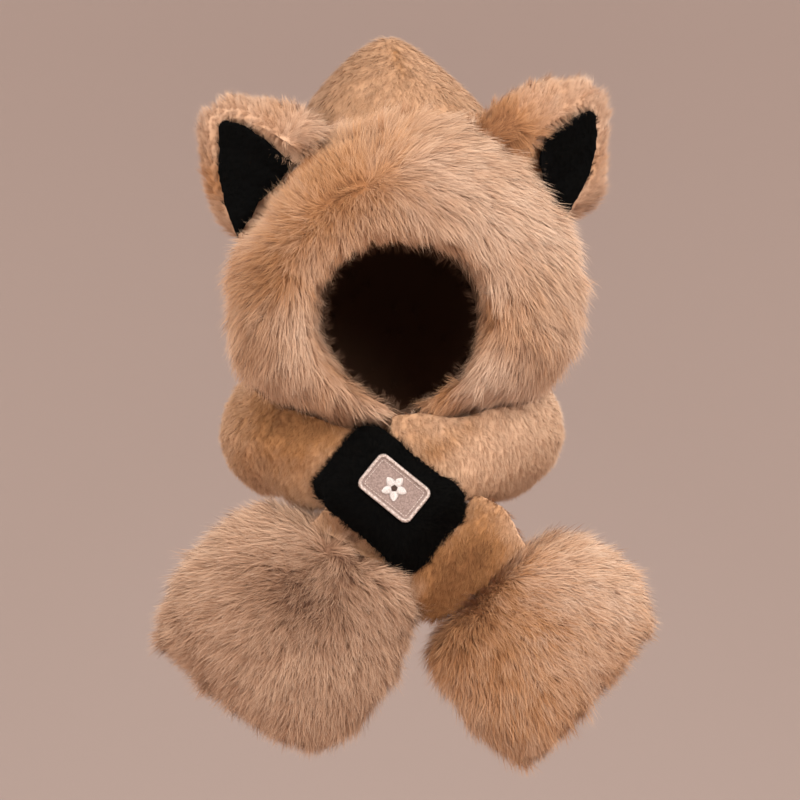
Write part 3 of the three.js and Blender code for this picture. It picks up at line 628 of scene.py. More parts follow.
longTufts = tuftKinds("long tuft", {
    "seed": 5, "kinds": 6, "hairs": 20, "curved": 5, "steps": 2, "length": 0.022, "guards": 1, "guard": 1.2,
    "pale": 0.3, "width": 0.0005, "spread": 0.0034, "gather": 0.15, "rise": 48, "lay": 6, "slant": 20,
    "ruffle": 7, "sway": 0.1,
}, {
    "seed": 6, "kinds": 6, "hairs": 16, "curved": 7, "steps": 2, "length": 0.02, "guards": 2, "guard": 1.15,
    "pale": 0.5, "width": 0.0005, "spread": 0.003, "gather": 0.35, "rise": 62, "lay": 14, "slant": 34,
    "ruffle": 15, "sway": 0.3,
})
shortTufts = tuftKinds("short tuft", {
    "seed": 8, "kinds": 6, "hairs": 20, "curved": 0, "steps": 1, "length": 0.0085, "guards": 1, "guard": 1.1,
    "pale": 0.2, "width": 0.00045, "spread": 0.0028, "gather": 0.1, "rise": 30, "lay": 30, "slant": 27,
    "ruffle": 8, "sway": 0.2,
})
print("materials and tufts made")


def dressed(skin, nodes):
    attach(skin, "root")
    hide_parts(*nodes)


met = {}  # skins that others are drawn to


# The fur roll round the face
ruff = {
    "voxel": 0.005, "rounds": 8, "inset": 0.007, "slim": 0.014, "hole": (-0.0032, -0.07, -0.184), "room": 0.04,
    # across, up, radius, right, rise, forward
    "nudge": (
        (24, -248, 18, -11, -4, 0), (-20, -262, 16, 7, -1, 0), (-58, -178, 10, -5, 0, 0),
        (-122, -94, 20, 6, -8, -6), (118, -76, 20, -3, -7, -5),
    ),
    "Spacing": 0.0032, "Turn": 0.22, "Tilt": 0.1, "Mottle": 0.1, "Seed": 3, "base": 0.15, "soft": 0.85,
    "bend": (0.35, 0.35, 0.028), "size": 1.06, "sizeWave": (0.12, 0.02), "stand": 0.02, "standWave": (0.1, 0.016),
    "level": 0.66, "toneWaves": ((0.14, 0.03), (0.1, 0.011)), "back": 0.75, "spread": 0.25, "reach": 17,
    # what a parting, the hole's inside and the leaf beside it take or give
    "partingSize": 0.3, "partingStand": 0.22, "innerSize": 0.4, "innerTone": 0.2, "besideSize": 0.55,
    # across, up, right, rise
    "flow": (
        (-47, -40, -0.2, 1), (-28, -25, 0.05, 1), (-5, -29, 0.25, 0.95), (-70, -27, -0.3, 0.9),
        (-91, -69, -0.4, 0.9), (-114, -92, -0.7, 0.7), (-133, -117, -0.9, 0.3), (-47, -63, -0.25, 0.95),
        (-20, -63, 0.1, 1), (-76, -88, -0.6, 0.75), (-101, -117, -0.8, 0.2), (-141, -151, -0.95, -0.15),
        (-145, -184, -0.95, -0.4), (-137, -213, -0.8, -0.6), (-5, -75, 0.7, -0.3), (-34, -94, 0.15, -0.9),
        (-59, -109, 0.1, -0.95), (-76, -130, -0.1, -1), (-34, -121, 0.35, -0.95), (-9, -109, 0.4, -0.95),
        (20, -88, 0.75, -0.6), (16, -109, 0.45, -0.9), (41, -126, 0.5, -0.9), (24, -42, 0.9, -0.1),
        (45, -59, 0.95, -0.35), (77, -69, 0.9, -0.5), (45, -94, 0.85, -0.6), (77, -105, 0.75, -0.7),
        (104, -94, 0.85, -0.6), (129, -117, 0.8, -0.5), (66, -134, 0.6, -0.85), (87, -155, 0.4, -0.95),
        (114, -151, 0.55, -0.85), (144, -159, 0.9, -0.5), (139, -192, 0.8, -0.65), (129, -222, 0.6, -0.8),
        (108, -188, 0.35, -0.95), (83, -180, 0.1, -1), (64, -180, -0.3, -0.95), (58, -205, -0.75, -0.6),
        (83, -209, -0.15, -1), (108, -226, 0.1, -1), (70, -230, -0.35, -0.9), (41, -230, -0.85, -0.4),
        (24, -251, -0.4, -0.9), (45, -255, -0.1, -1), (83, -251, 0.05, -1), (-64, -159, 0.75, -0.65),
        (-80, -163, -0.15, -1), (-68, -188, 0.85, -0.5), (-85, -188, 0, -1), (-55, -211, 0.85, -0.55),
        (-76, -209, 0.3, -0.95), (-34, -230, 0.85, -0.5), (-55, -234, 0.45, -0.9), (-20, -249, 0.8, -0.6),
        (-114, -151, -0.5, -0.85), (-118, -180, -0.5, -0.85), (-112, -205, -0.35, -0.95), (-95, -226, 0, -1),
        (-122, -226, -0.4, -0.9), (-76, -247, 0.25, -0.95), (-47, -257, 0.5, -0.85), (-101, -243, -0.1, -1),
    ),
    # across, up, radius, strength: where the coat parts and its brown depth shows
    "parting": (
        (-55, -62, 24, 1), (-30, -80, 26, 1), (-62, -92, 22, 0.8), (-85, -120, 24, 0.9), (-102, -142, 22, 0.6),
        (84, -190, 20, 0.4), (24, -246, 16, 0.7), (-118, -160, 20, 0.5),
    ),
    # across, up, radius, strength: lighter and darker areas, partly the coat's own tone and partly painted light and
    # shade
    # painted shade on the left of the roll, on the forehead and in the creases by the ears and bands; painted light low
    # on the right against the shade there
    "tone": (
        (-54, -64, 36, -0.34), (-30, -84, 28, -0.24), (-84, -118, 28, -0.26), (-118, -152, 32, -0.5),
        (-124, -200, 22, -0.16), (86, -186, 22, -0.2), (24, -248, 20, -0.26), (-70, -262, 22, -0.3),
        (-104, -246, 16, -0.2), (50, -60, 44, 0.12), (100, -100, 34, 0.08), (-72, -184, 20, 0.24),
        (-52, -150, 20, 0.16), (-4, -30, 34, -0.14), (76, -240, 26, 0.5), (-96, -50, 12, -0.4),
        (66, -34, 14, -0.2), (124, -222, 18, -0.1), (38, -240, 12, -0.24), (-74, -86, 30, -0.14),
        (70, -100, 40, 0.12),
    ),
}


def makeRuff():
    skin = skinOf("fur_roll", "face_ruff", ruff)
    nudged(skin, ruff["nudge"])
    places, facings = surfaceOf(skin)
    leaf = BVHTree.FromPolygons(*solidOf(["ear_inner_left"]))
    beside = 1 - eased(farFrom(places, leaf), 0.012, 0.045)
    placed(skin.data, places - facings * (ruff["slim"] * beside)[:, None])
    met["face_ruff"] = treeOf(skin)
    places, facings = surfaceOf(skin)
    front = eased(-facings[:, 1], -0.35, 0.45)[:, None]
    outward = places - np.array(ruff["hole"])
    outward[:, 1] = 0
    outward = unit(outward)
    inner = eased(-(facings * outward).sum(1), 0.35, 0.9)
    flow = guided(places, ruff["flow"], ruff["reach"]) * (0.35 + 0.65 * front)
    flow += (1 - front) * np.array([0, ruff["back"], 0]) + ruff["spread"] * (1 - front) * outward
    bent(flow, places, ruff)
    rooms = roomOver(skin, [
        "hood_shell", "hood_lining", "scarf_left", "scarf_right", "ear_left", "ear_right", "keeper",
    ], ruff["room"])
    parting = np.clip(spotted(places, ruff["parting"]), 0, 1)
    size = ruff["size"] - ruff["partingSize"] * parting - ruff["innerSize"] * inner + wave(places, ruff, "sizeWave", 3)
    furred(skin, ruff, longTufts, tanFur, {
        "flow": along(flow, facings),
        "size": (1 - ruff["besideSize"] * beside) * size,
        "stand": ruff["stand"] + ruff["partingStand"] * parting + wave(places, ruff, "standWave", 4),
        "cover": eased(rooms, 0.002, 0.012) * (1 - 0.4 * inner),
        "rough": parting * 0.9,
        "tone": toneOf(places, ruff) - ruff["innerTone"] * inner,
    })
    dressed(skin, ["face_ruff"])


# The padded ends: long fur that fans from a crown to the whole rim
pawForm = {
    "voxel": 0.005, "rounds": 20, "inset": 0.005, "room": 0.04, "near": ["scarf_left", "scarf_right", "keeper"],
    "Spacing": 0.0024, "Tilt": 0.16, "base": 0.1, "soft": 0.8,
    "bend": (0.6, 0.6, 0.024), "flat": 0.25, "fall": 0.25, "crownFall": 0.4, "crownReach": 0.03,
    "size": 0.92, "partingSize": 0.22, "rimSize": 0.16, "sizeWave": (0.14, 0.018),
    "stand": 0.06, "partingStand": 0.3, "standWave": (0.16, 0.014),
    "rimTone": 0.1, "toneWaves": ((0.16, 0.03), (0.14, 0.01)),
}
paws = (
    {
        **pawForm, "name": "padded_end_left", "node": "paw_left", "fur": pawFur,
        "nudge": (
            (-4, -388, 30, 9, 3, 0), (-30, -362, 22, 6, 2, 4), (-16, -382, 14, 0, 0, 9),
            (-38, -366, 9, 0, 0, -12),
        ),
        # its level sits below the right paw's: partly the paw's own darker brown, partly painted shade on the side away
        # from the light
        "Turn": 0.34, "Mottle": 0.24, "Seed": 11, "level": 0.3, "crown": (-0.055, -0.1, -0.384),
        "short": ((-38, -366, 8, 0.3),),
        "parting": ((-84, -396, 26, 1), (-40, -370, 11, 0.8), (-74, -414, 22, 0.6)),
        # darker at the parting and in the notch by the crown, partly the parting's brown depth and partly painted shade
        "tone": (
            (-86, -398, 32, -0.34), (-64, -396, 20, -0.1), (-39, -367, 9, -0.5), (-18, -384, 16, 0.3),
            (-84, -350, 26, 0.2), (-110, -365, 40, 0.12), (-160, -430, 40, -0.12), (-90, -500, 46, 0.04),
            (-20, -440, 30, 0.04),
        ),
    },
    {
        **pawForm, "name": "padded_end_right", "node": "paw_right", "fur": tanFur,
        "nudge": ((60, -540, 30, 0, 6, 0), (26, -420, 26, -4, 0, 0)),
        "Turn": 0.3, "Mottle": 0.22, "Seed": 23, "level": 0.42, "crown": (0.036, -0.1, -0.388),
        "short": (),
        "parting": ((58, -410, 26, 0.8), (40, -398, 18, 0.5)),
        # lighter towards the right: painted light on the side the light falls on; darker at the parting and in the rust
        # middle, the paw's own colour
        "tone": (
            (58, -408, 36, -0.3), (34, -436, 26, -0.2), (128, -374, 46, 0.2), (156, -416, 40, 0.12),
            (84, -500, 40, -0.1), (78, -458, 34, -0.22), (34, -474, 16, 0.16), (24, -390, 14, 0.2),
        ),
    },
)


def makePaw(looks):
    skin = skinOf(looks["name"], looks["node"], looks)
    nudged(skin, looks["nudge"])
    met[looks["node"]] = treeOf(skin)
    places, facings = surfaceOf(skin)
    flow = places - np.array(looks["crown"])
    flow[:, 1] *= looks["flat"]
    near = np.linalg.norm(flow, axis=1)
    flow = unit(flow) * eased(near, 0.0, looks["crownReach"])[:, None]
    flow[:, 2] -= looks["fall"] + looks["crownFall"] * np.exp(-(near / looks["crownReach"]) ** 2)
    bent(flow, places, looks)
    rooms = roomOver(skin, looks["near"], looks["room"])
    parting = np.clip(spotted(places, looks["parting"]), 0, 1)
    rim = eased(near, 0.04, 0.1)
    size = looks["size"] - looks["partingSize"] * parting + looks["rimSize"] * rim + wave(places, looks, "sizeWave", 3)
    furred(skin, looks, longTufts, looks["fur"], {
        "flow": along(flow, facings),
        "size": size * (1 - spotted(places, looks["short"])),
        "stand": looks["stand"] + looks["partingStand"] * parting + wave(places, looks, "standWave", 4),
        "cover": eased(rooms, 0.002, 0.01),
        "rough": 0.25 + 0.5 * parting,
        "tone": toneOf(places, looks) + looks["rimTone"] * rim,
    })
    dressed(skin, [looks["node"]])


# The ears, and the black leaf set in each
earForm = {
    "voxel": 0.004, "rounds": 6, "smooth": 5, "room": 0.03, "drawn": (0.026, 0.03, 0.018),
    "Spacing": 0.0027, "Turn": 0.28, "Tilt": 0.12, "Mottle": 0.1, "base": 0.6, "soft": 0.85,
    "fan": 0.6, "bend": (0.5, 0.4, 0.02), "inwards": 1.4, "lobeFlow": 2.4,
    "sizeWave": (0.1, 0.016), "lobeSize": 0.5, "leafSize": 0.72, "clearSize": 0.28,
    "stand": 0.04, "standWave": (0.12, 0.014), "leafStand": 0.3,
    "level": 0.64, "toneWaves": ((0.16, 0.024), (0.12, 0.01)),
}
leafForm = {
    "voxel": 0.0022, "rounds": 1, "inset": 0, "Spacing": 0.0036, "Turn": 0.8, "Tilt": 0.3, "Mottle": 0.3, "base": 0.1,
    "bend": (0.8, 0, 0.014), "level": 0.35, "toneWaves": ((0.2, 0.008),),
}
ears = (
    {
        **earForm, "name": "ear_fur_left", "node": "ear_left", "inner": "ear_inner_left",
        "inset": 0.007, "Seed": 31, "root": (-0.103, -0.056, -0.072), "axis": (-0.45, 0.1, 0.85), "size": 0.52,
        "nudge": ((-136, 0, 20, 0, -4, 0), (-78, -20, 24, 8, 8, 4), (-92, -52, 20, 6, -4, 4)),
        "lobe": ((-74, -34, 18, 0.5), (-88, -50, 14, 0.4)), "lobeWay": (0.9, -0.3, -0.5),
        "leafNudge": ((-138, -104, 26, -12, -17, 6), (-148, -70, 22, -7, -3, 2), (-100, -60, 20, 0, -6, 2)),
        # the tone rows paint shade into the crease by the roll and onto the ear's left side
        "tone": ((-72, -50, 14, -0.34), (-158, -72, 26, -0.34)),
    },
    {
        **earForm, "name": "ear_fur_right", "node": "ear_right", "inner": "ear_inner_right",
        "inset": 0.0055, "Seed": 37, "root": (0.105, -0.054, -0.063), "axis": (0.5, 0.1, 0.85), "size": 0.56,
        "nudge": ((150, -70, 26, 8, -6, 0), (66, -24, 20, -14, 4, 0), (88, -4, 26, -8, 10, 0), (146, 14, 16, 0, -3, 0)),
        "lobe": ((88, -40, 15, 0.5), (102, -50, 12, 0.5)), "lobeWay": (0.5, -0.4, -0.8),
        "leafNudge": (
            (142, -76, 26, 9, -14, 4), (134, -92, 22, 6, -10, 4), (156, -40, 20, 5, 0, 2), (94, -50, 24, 22, -2, 0),
        ),
        # the tone rows paint shade along the crease between the ear's root and the roll
        "tone": (
            (78, -30, 26, -0.66), (58, -28, 14, -0.24), (80, -48, 13, -0.2), (94, -62, 12, -0.1), (160, -60, 20, -0.1),
        ),
    },
)


def makeEar(looks):
    leaf = skinOf(f"{looks['name']}_lining", looks["inner"], leafForm)
    nudged(leaf, looks["leafNudge"])
    drawnTo(leaf, met["face_ruff"], *looks["drawn"])
    leafTree = treeOf(leaf)
    skin = skinOf(looks["name"], looks["node"], looks)
    nudged(skin, looks["nudge"])
    drawnTo(skin, met["face_ruff"], *looks["drawn"])
    smoothed(skin, looks["smooth"])
    places, facings = surfaceOf(skin)
    flow = np.array(looks["axis"]) + looks["fan"] * unit(places - np.array(looks["root"]))
    bent(flow, places, looks)
    rooms = roomOver(skin, ["hood_shell"], looks["room"])
    # beside the leaf the hair turns in to it, and there is none behind it
    beside = farFrom(places, leafTree)
    behind = np.array([
        leafTree.ray_cast(Vector(place), Vector((0, -1, 0)), looks["room"])[0] is not None for place in places
    ])
    around = (1 - eased(beside, 0.006, 0.013)) * eased(-facings[:, 1], 0.0, 0.4)
    inwards = unit(placesOf(leaf.data).mean(axis=0) - places)
    flow = flow * (1 - around)[:, None] + looks["inwards"] * inwards * around[:, None]
    lobe = np.clip(spotted(places, looks["lobe"]), 0, 1)
    flow = flow * (1 - 1.6 * lobe.clip(0, 0.6))[:, None] + np.array(looks["lobeWay"]) * looks["lobeFlow"] * lobe[:, None]
    size = looks["size"] + wave(places, looks, "sizeWave", 3) + looks["lobeSize"] * lobe
    furred(skin, looks, longTufts, tanFur, {
        "flow": along(flow, facings),
        "size": size * (looks["leafSize"] + looks["clearSize"] * eased(beside, 0.002, 0.014)),
        "stand": looks["stand"] + wave(places, looks, "standWave", 4) + looks["leafStand"] * around,
        "cover": eased(rooms, 0.002, 0.01) * ~behind,
        "tone": toneOf(places, looks),
    })
    dressed(skin, [looks["node"]])
    places, facings = surfaceOf(leaf)
    flow = np.tile(np.array([0, -0.2, 1.0]), (len(places), 1))
    bent(flow, places, leafForm)
    furred(leaf, {**leafForm, "Seed": looks["Seed"] + 1}, shortTufts, blackPlush, {
        "flow": along(flow, facings),
        "size": 0.7,
        "stand": 0.1,
        "cover": eased(-facings[:, 1], 0.0, 0.4),
        "tone": toneOf(places, leafForm),
    })
    dressed(leaf, [looks["inner"]])


# The hood's plush back and crown
hood = {
    "voxel": 0.005, "rounds": 6, "inset": 0.003, "room": 0.02, "drawn": (0.014, 0.02, 0.01),
    "Spacing": 0.0041, "Turn": 0.3, "Tilt": 0.08, "Mottle": 0.05, "Seed": 41, "base": 0.55, "soft": 1.0,
    "tip": (-0.012, 0.0, 0.06), "middle": (-0.006, 0.01, -0.12), "bend": (0.06, 0, 0.03),
    "size": 1.25, "sizeWave": (0.12, 0.02), "stand": -0.24, "standWave": (0.04, 0.012),
    "level": 0.56, "toneWaves": ((0.1, 0.035), (0.04, 0.012)),
    # a little darker on the left and lighter on the right: painted shade and light; then a dark line of spots down the
    # crown's seam
    "tone": (
        (-60, 10, 40, -0.06), (30, 24, 26, 0.1), (-8, 40, 3.5, -0.3), (-6, 33, 3.5, -0.34),
        (-4, 26, 3.5, -0.3), (-2, 19, 4, -0.2),
    ),
}


def makeHood():
    skin = skinOf("hood_plush", "hood_shell", hood)
    drawnTo(skin, met["face_ruff"], *hood["drawn"])
    places, facings = surfaceOf(skin)
    flow = places - np.array(hood["tip"])
    flow[:, 2] = -np.abs(flow[:, 2]) - 0.06
    bent(flow, places, hood)
    rooms = roomOver(skin, [
        "face_ruff", "scarf_left", "scarf_right", "ear_left", "ear_right", "hood_lining",
    ], hood["room"])
    away = places - np.array(hood["middle"])
    away[:, 2] = np.maximum(away[:, 2] * 0.6, 0)
    outside = eased((unit(away) * facings).sum(1), 0.05, 0.3)
    furred(skin, hood, shortTufts, tanPlush, {
        "flow": along(flow, facings),
        "size": hood["size"] + wave(places, hood, "sizeWave", 3),
        "stand": hood["stand"] + wave(places, hood, "standWave", 4),
        "cover": eased(rooms, 0.001, 0.006) * outside,
        "tone": toneOf(places, hood),
    })
    dressed(skin, ["hood_shell"])


# The lining, dark and nearly smooth, with a short nap at its edges
lining = {
    "voxel": 0, "inset": -0.0012, "hole": (-0.0032, -0.09, -0.184), "nap": (0.075, 0.1), "least": 0.12,
    "Spacing": 0.0048, "Turn": 1.0, "Tilt": 0.4, "Mottle": 0.3, "Seed": 47, "base": 0.1,
    "level": 0.3, "toneWaves": ((0.2, 0.02),),
}


def makeLining():
    skin = skinOf("hood_lining_plush", "hood_lining", lining)
    places, facings = surfaceOf(skin)
    away = places - np.array(lining["hole"])
    near = np.linalg.norm(away * np.array([1, 0.8, 1]), axis=1)
    furred(skin, lining, shortTufts, liningPlush, {
        "flow": along(-unit(away) + np.array([0, -0.8, 0]), facings),
        "size": 1.0,
        "stand": 0.3,
        "cover": np.maximum(1 - eased(near, *lining["nap"]), lining["least"]),
        "tone": toneOf(places, lining),
    })
    dressed(skin, ["hood_lining"])


# The scarf's plush bands
bandForm = {
    "voxel": 0.0036, "rounds": 3, "inset": 0.0015, "cap": 0.004, "pressure": 3, "frames": 10, "smooth": 4,
    "room": 0.02, "near": ["face_ruff", "hood_shell", "paw_left", "paw_right", "keeper"],
    "drawn": {"face_ruff": (0.017, 0.02, 0.008), "paw_left": (0.02, 0.02, 0.012), "paw_right": (0.014, 0.02, 0.008)},
    "Spacing": 0.0034, "Turn": 0.4, "Tilt": 0.14, "Mottle": 0.08, "base": 0.6, "soft": 0.95,
    "round": 0.4, "bend": (0.5, 0.3, 0.03), "size": 0.95, "sizeWave": (0.12, 0.02), "stand": 0.1,
    "standWave": (0.16, 0.012), "level": 0.56, "toneWaves": ((0.1, 0.03), (0.06, 0.01)),
}
bands = (
    {
        **bandForm, "name": "band_left", "node": "scarf_left", "other": "scarf_right", "Seed": 53, "sign": -1,
        "kept": ((84, -346, 16, 1), (92, -362, 14, 1)),
        "nudge": ((6, -385, 24, -7, 0, 0), (14, -410, 20, -5, 0, 0), (74, -336, 20, 4, 4, 0)),
        # darker on the left of the neck: painted shade; darker over the band's end between the keeper and the right
        # padded end: painted shadow
        "tone": (
            (-110, -250, 30, -0.26), (-60, -262, 30, -0.3), (-98, -282, 34, -0.24), (-60, -304, 24, 0.06),
            (38, -386, 30, -0.6), (28, -420, 22, -0.4), (62, -346, 20, -0.24), (66, -372, 18, -0.24),
            (12, -396, 8, 0.4), (90, -350, 12, 0.4),
        ),
    },
    {
        **bandForm, "name": "band_right", "node": "scarf_right", "other": "scarf_left", "Seed": 59, "sign": 1,
        "kept": ((30, -256, 14, 1), (60, -254, 14, 1)),
        "nudge": ((6, -268, 14, -10, 6, 0), (74, -318, 20, 0, -8, 0), (44, -254, 24, 0, -5, -6), (-34, -346, 14, 0, 2, -8)),
        # lighter towards the right: painted light; a row of small dark spots along a fold of the band: painted shade in
        # the fold
        "tone": (
            (70, -276, 54, 0.3), (112, -262, 30, 0.24), (24, -288, 9, -0.34), (38, -279, 9, -0.34),
            (52, -270, 9, -0.3), (60, -302, 30, 0.1), (10, -276, 20, -0.1), (-30, -368, 20, -0.1),
            (-16, -380, 14, -0.2), (54, -330, 20, -0.06),
        ),
    },
)


def makeBand(looks):
    skin = skinOf(looks["name"], looks["node"], looks)
    swollen(skin, looks)
    nudged(skin, looks["nudge"])
    for neighbour, measures in looks["drawn"].items():
        drawnTo(skin, met[neighbour], *measures)
    smoothed(skin, looks["smooth"])
    places, facings = surfaceOf(skin)
    circling = np.stack([-places[:, 1], places[:, 0] + 0.01, np.zeros(len(places))], axis=1)
    flow = unit(circling) * looks["sign"] * looks["round"] + np.array([0, 0, -1.0])
    bent(flow, places, looks)
    rooms = roomOver(skin, [*looks["near"], looks["other"]], looks["room"])
    kept = 0.8 * np.clip(spotted(places, looks["kept"]), 0, 1)
    furred(skin, looks, shortTufts, tanPlush, {
        "flow": along(flow, facings),
        "size": looks["size"] + wave(places, looks, "sizeWave", 3),
        "stand": looks["stand"] + wave(places, looks, "standWave", 4),
        "cover": np.maximum(eased(rooms, 0.001, 0.006), kept),
        "tone": toneOf(places, looks),
    })
    dressed(skin, [looks["node"]])


# The keeper
keeper = {
    "voxel": 0.003, "rounds": 3, "inset": 0, "wide": 0.0045, "room": 0.012, "middle": (-0.012, -0.1, -0.325),
    "nudge": ((40, -322, 22, 6, -2, 0), (2, -376, 22, 0, -4, 0)),
    "Spacing": 0.0028, "Turn": 0.8, "Tilt": 0.3, "Mottle": 0.3, "Seed": 67, "base": 0.1,
    "bend": (0.6, 0.6, 0.02), "level": 0.4, "toneWaves": ((0.25, 0.012),),
}


def makeKeeper():
    skin = skinOf("keeper_plush", "keeper", keeper)
    nudged(skin, keeper["nudge"])
    places, facings = surfaceOf(skin)
    placed(skin.data, places + facings * np.array([1, 0, 1]) * keeper["wide"])
    places, facings = surfaceOf(skin)
    flow = unit(places - np.array(keeper["middle"]))
    bent(flow, places, keeper)
    rooms = roomOver(skin, ["scarf_left", "scarf_right", "patch_edge", "patch_ground"], keeper["room"])
    furred(skin, keeper, shortTufts, blackPlush, {
        "flow": along(flow, facings),
        "size": 0.75,
        "stand": 0.05,
        "cover": eased(rooms, 0.002, 0.006),
        "tone": toneOf(places, keeper),
    })
    dressed(skin, ["keeper"])


# The patch: a woven ground, an overlocked edge, a running stitch and a five-petal flower, in mm
patch = {
    "turn": 39, "length": 52, "width": 34, "corner": 6, "edge": 3, "cell": 0.5, "weave": 0.07,
    "uneven": 0.3, "groundInset": 1.4, "groundDepth": 1.2,
    "edgeStep": 0.9, "edgeThread": 0.37, "edgeHeight": 1.25, "edgeSink": 0.15, "slant": 1.1,
    "coreStep": 2.2, "coreThread": 1.08, "coreRise": 0.1,
    "runInset": 5.0, "runCorner": 2.2, "runLength": 1.7, "runGap": 0.6, "runThread": 0.38, "runRise": 0.16,
    "petals": 5, "petalFrom": 2.4, "petalTo": 10.2, "petalHalf": 3.5, "petalDip": 0.8, "petalStep": 0.42,
    "petalThread": 0.27, "petalLow": 0.18, "petalRise": 0.8,
    "knots": 6, "knotRing": 1.5, "knotRadius": 0.55, "knotThread": 0.42, "knotRise": 1.0,
}


def clothMaterial(name, colour, shade, scale, roughness):
    # thread colour that varies finely from place to place, with a fine bump
    material, nodes, links, shader = materialOf(name, {
        "Roughness": roughness, "Specular IOR Level": 0.3, "Sheen Weight": 0.15,
    })
    spot = nodes.new("ShaderNodeTexCoord")
    grain = nodes.new("ShaderNodeTexNoise")
    grain.inputs["Scale"].default_value = scale
    grain.inputs["Detail"].default_value = 3
    links.new(spot.outputs["Object"], grain.inputs["Vector"])
    tone = ramp(nodes, ((0.3, *shade), (0.7, *colour)))
    links.new(grain.outputs["Fac"], tone.inputs["Fac"])
    links.new(tone.outputs["Color"], shader.inputs["Base Color"])
    bump = nodes.new("ShaderNodeBump")
    bump.inputs["Strength"].default_value = 0.3
    bump.inputs["Distance"].default_value = 0.0002
    links.new(grain.outputs["Fac"], bump.inputs["Height"])
    links.new(bump.outputs["Normal"], shader.inputs["Normal"])
    return material


def onPatch(points):
    # patch coordinates (along, up, out in mm) to the scarf's
    low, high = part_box("patch_ground")
    turn = math.radians(patch["turn"])
    rows = np.asarray(points, float) * mm
    across = (low[0] + high[0]) / 2 + rows[:, 0] * math.cos(turn) + rows[:, 1] * math.sin(turn)
    up = (low[2] + high[2]) / 2 - rows[:, 0] * math.sin(turn) + rows[:, 1] * math.cos(turn)
    return np.stack([across, low[1] - rows[:, 2], up], axis=1)


def thread(shape, line, radius, sides=5, closed=False):
    # one thread round a line of points, added to the shape's points and faces; open ends taper
    line = np.asarray(line, float)
    count = len(line)
    ways = np.roll(line, -1, axis=0) - np.roll(line, 1, axis=0) if closed else np.gradient(line, axis=0)
    start = len(shape[0])
    for index, (middle, way) in enumerate(zip(line, unit(ways))):
        thick = radius * (0.5 if not closed and index in (0, count - 1) else 1)
        lift = np.array([0, 0, 1.0]) if abs(way[2]) < 0.9 else np.array([1.0, 0, 0])
        side = unit(np.cross(way, lift)[None])[0]
        over = np.cross(side, way)
        for turn in range(sides):
            angle = turn / sides * 2 * math.pi
            shape[0].append(middle + (side * math.cos(angle) + over * math.sin(angle)) * thick)
    for index in range(count if closed else count - 1):
        a, b = start + index * sides, start + (index + 1) % count * sides
        for turn in range(sides):
            after = (turn + 1) % sides
            shape[1].append((a + turn, a + after, b + after, b + turn))
    if not closed:
        shape[1].append(tuple(start + turn for turn in reversed(range(sides))))
        shape[1].append(tuple(start + (count - 1) * sides + turn for turn in range(sides)))


def stitched(name, shape, material, nodes):
    mesh = bpy.data.meshes.new(name)
    mesh.from_pydata([tuple(p) for p in onPatch(shape[0])], [], shape[1])
    work = bmesh.new()
    work.from_mesh(mesh)
    bmesh.ops.recalc_face_normals(work, faces=work.faces)
    work.to_mesh(mesh)
    work.free()
    mesh.materials.append(material)
    mesh.polygons.foreach_set("use_smooth", [True] * len(mesh.polygons))
    piece = linked(name, mesh)
    print(f"{name}: {len(mesh.loops) - 2 * len(mesh.polygons)} triangles")
    dressed(piece, nodes)


def roundedLine(length, width, corner, step):
    # evenly spaced points round a rounded rectangle, each with its outward direction
    corners = ((length / 2 - corner, width / 2 - corner, 0), (corner - length / 2, width / 2 - corner, 90),
               (corner - length / 2, corner - width / 2, 180), (length / 2 - corner, corner - width / 2, 270))
    path = []
    for x, y, begin in corners:
        for part in range(13):
            angle = math.radians(begin + 90 * part / 12)
            path.append((x + corner * math.cos(angle), y + corner * math.sin(angle)))
    path = np.array(path + path[:1])
    gaps = np.linalg.norm(np.diff(path, axis=0), axis=1)
    run = np.concatenate([[0], np.cumsum(gaps)])
    count = round(run[-1] / step)
    at = np.arange(count) / count * run[-1]
    line = np.stack([np.interp(at, run, path[:, 0]), np.interp(at, run, path[:, 1])], axis=1)
    way = unit(np.roll(line, -1, axis=0) - np.roll(line, 1, axis=0))
    return line, np.stack([way[:, 1], -way[:, 0]], axis=1), way


def makeGround():
    inset = patch["groundInset"]
    length, width = patch["length"] - 2 * inset, patch["width"] - 2 * inset
    corner = patch["corner"] - inset
    cell = patch["cell"]
    wide, high = int(length / cell), int(width / cell)
    draw = np.random.default_rng(71)
    uneven = draw.normal(0, patch["uneven"], (wide + 1, high + 1))
    used, points, faces = {}, [], []

    def corners(i, j):
        if (i, j) not in used:
            used[i, j] = len(points)
            rise = patch["weave"] * ((1 if (i + j) % 2 else -1) + uneven[i, j])
            points.append(((i - wide / 2) * cell, (j - high / 2) * cell, rise))
        return used[i, j]

    for i in range(wide):
        for j in range(high):
            x, y = abs(i + 0.5 - wide / 2) * cell, abs(j + 0.5 - high / 2) * cell
            past = math.hypot(max(x - length / 2 + corner, 0), max(y - width / 2 + corner, 0))
            if past < corner:
                faces.append((corners(i, j), corners(i + 1, j), corners(i + 1, j + 1), corners(i, j + 1)))
    edges = {}
    for face in faces:
        for a, b in zip(face, face[1:] + face[:1]):
            edges[a, b] = edges.get((a, b), 0) + 1
    top = len(points)
    points += [(x, y, -patch["groundDepth"]) for x, y, rise in points]
    rim = [(a, b) for a, b in edges if (b, a) not in edges]
    faces += [tuple(top + i for i in reversed(face)) for face in faces]
    faces += [(b, a, a + top, b + top) for a, b in rim]
    cloth = clothMaterial("woven ground", (0.31, 0.222, 0.19), (0.19, 0.13, 0.108), 900, 0.85)
    stitched("patch_woven_ground", (points, faces), cloth, ["patch_ground"])


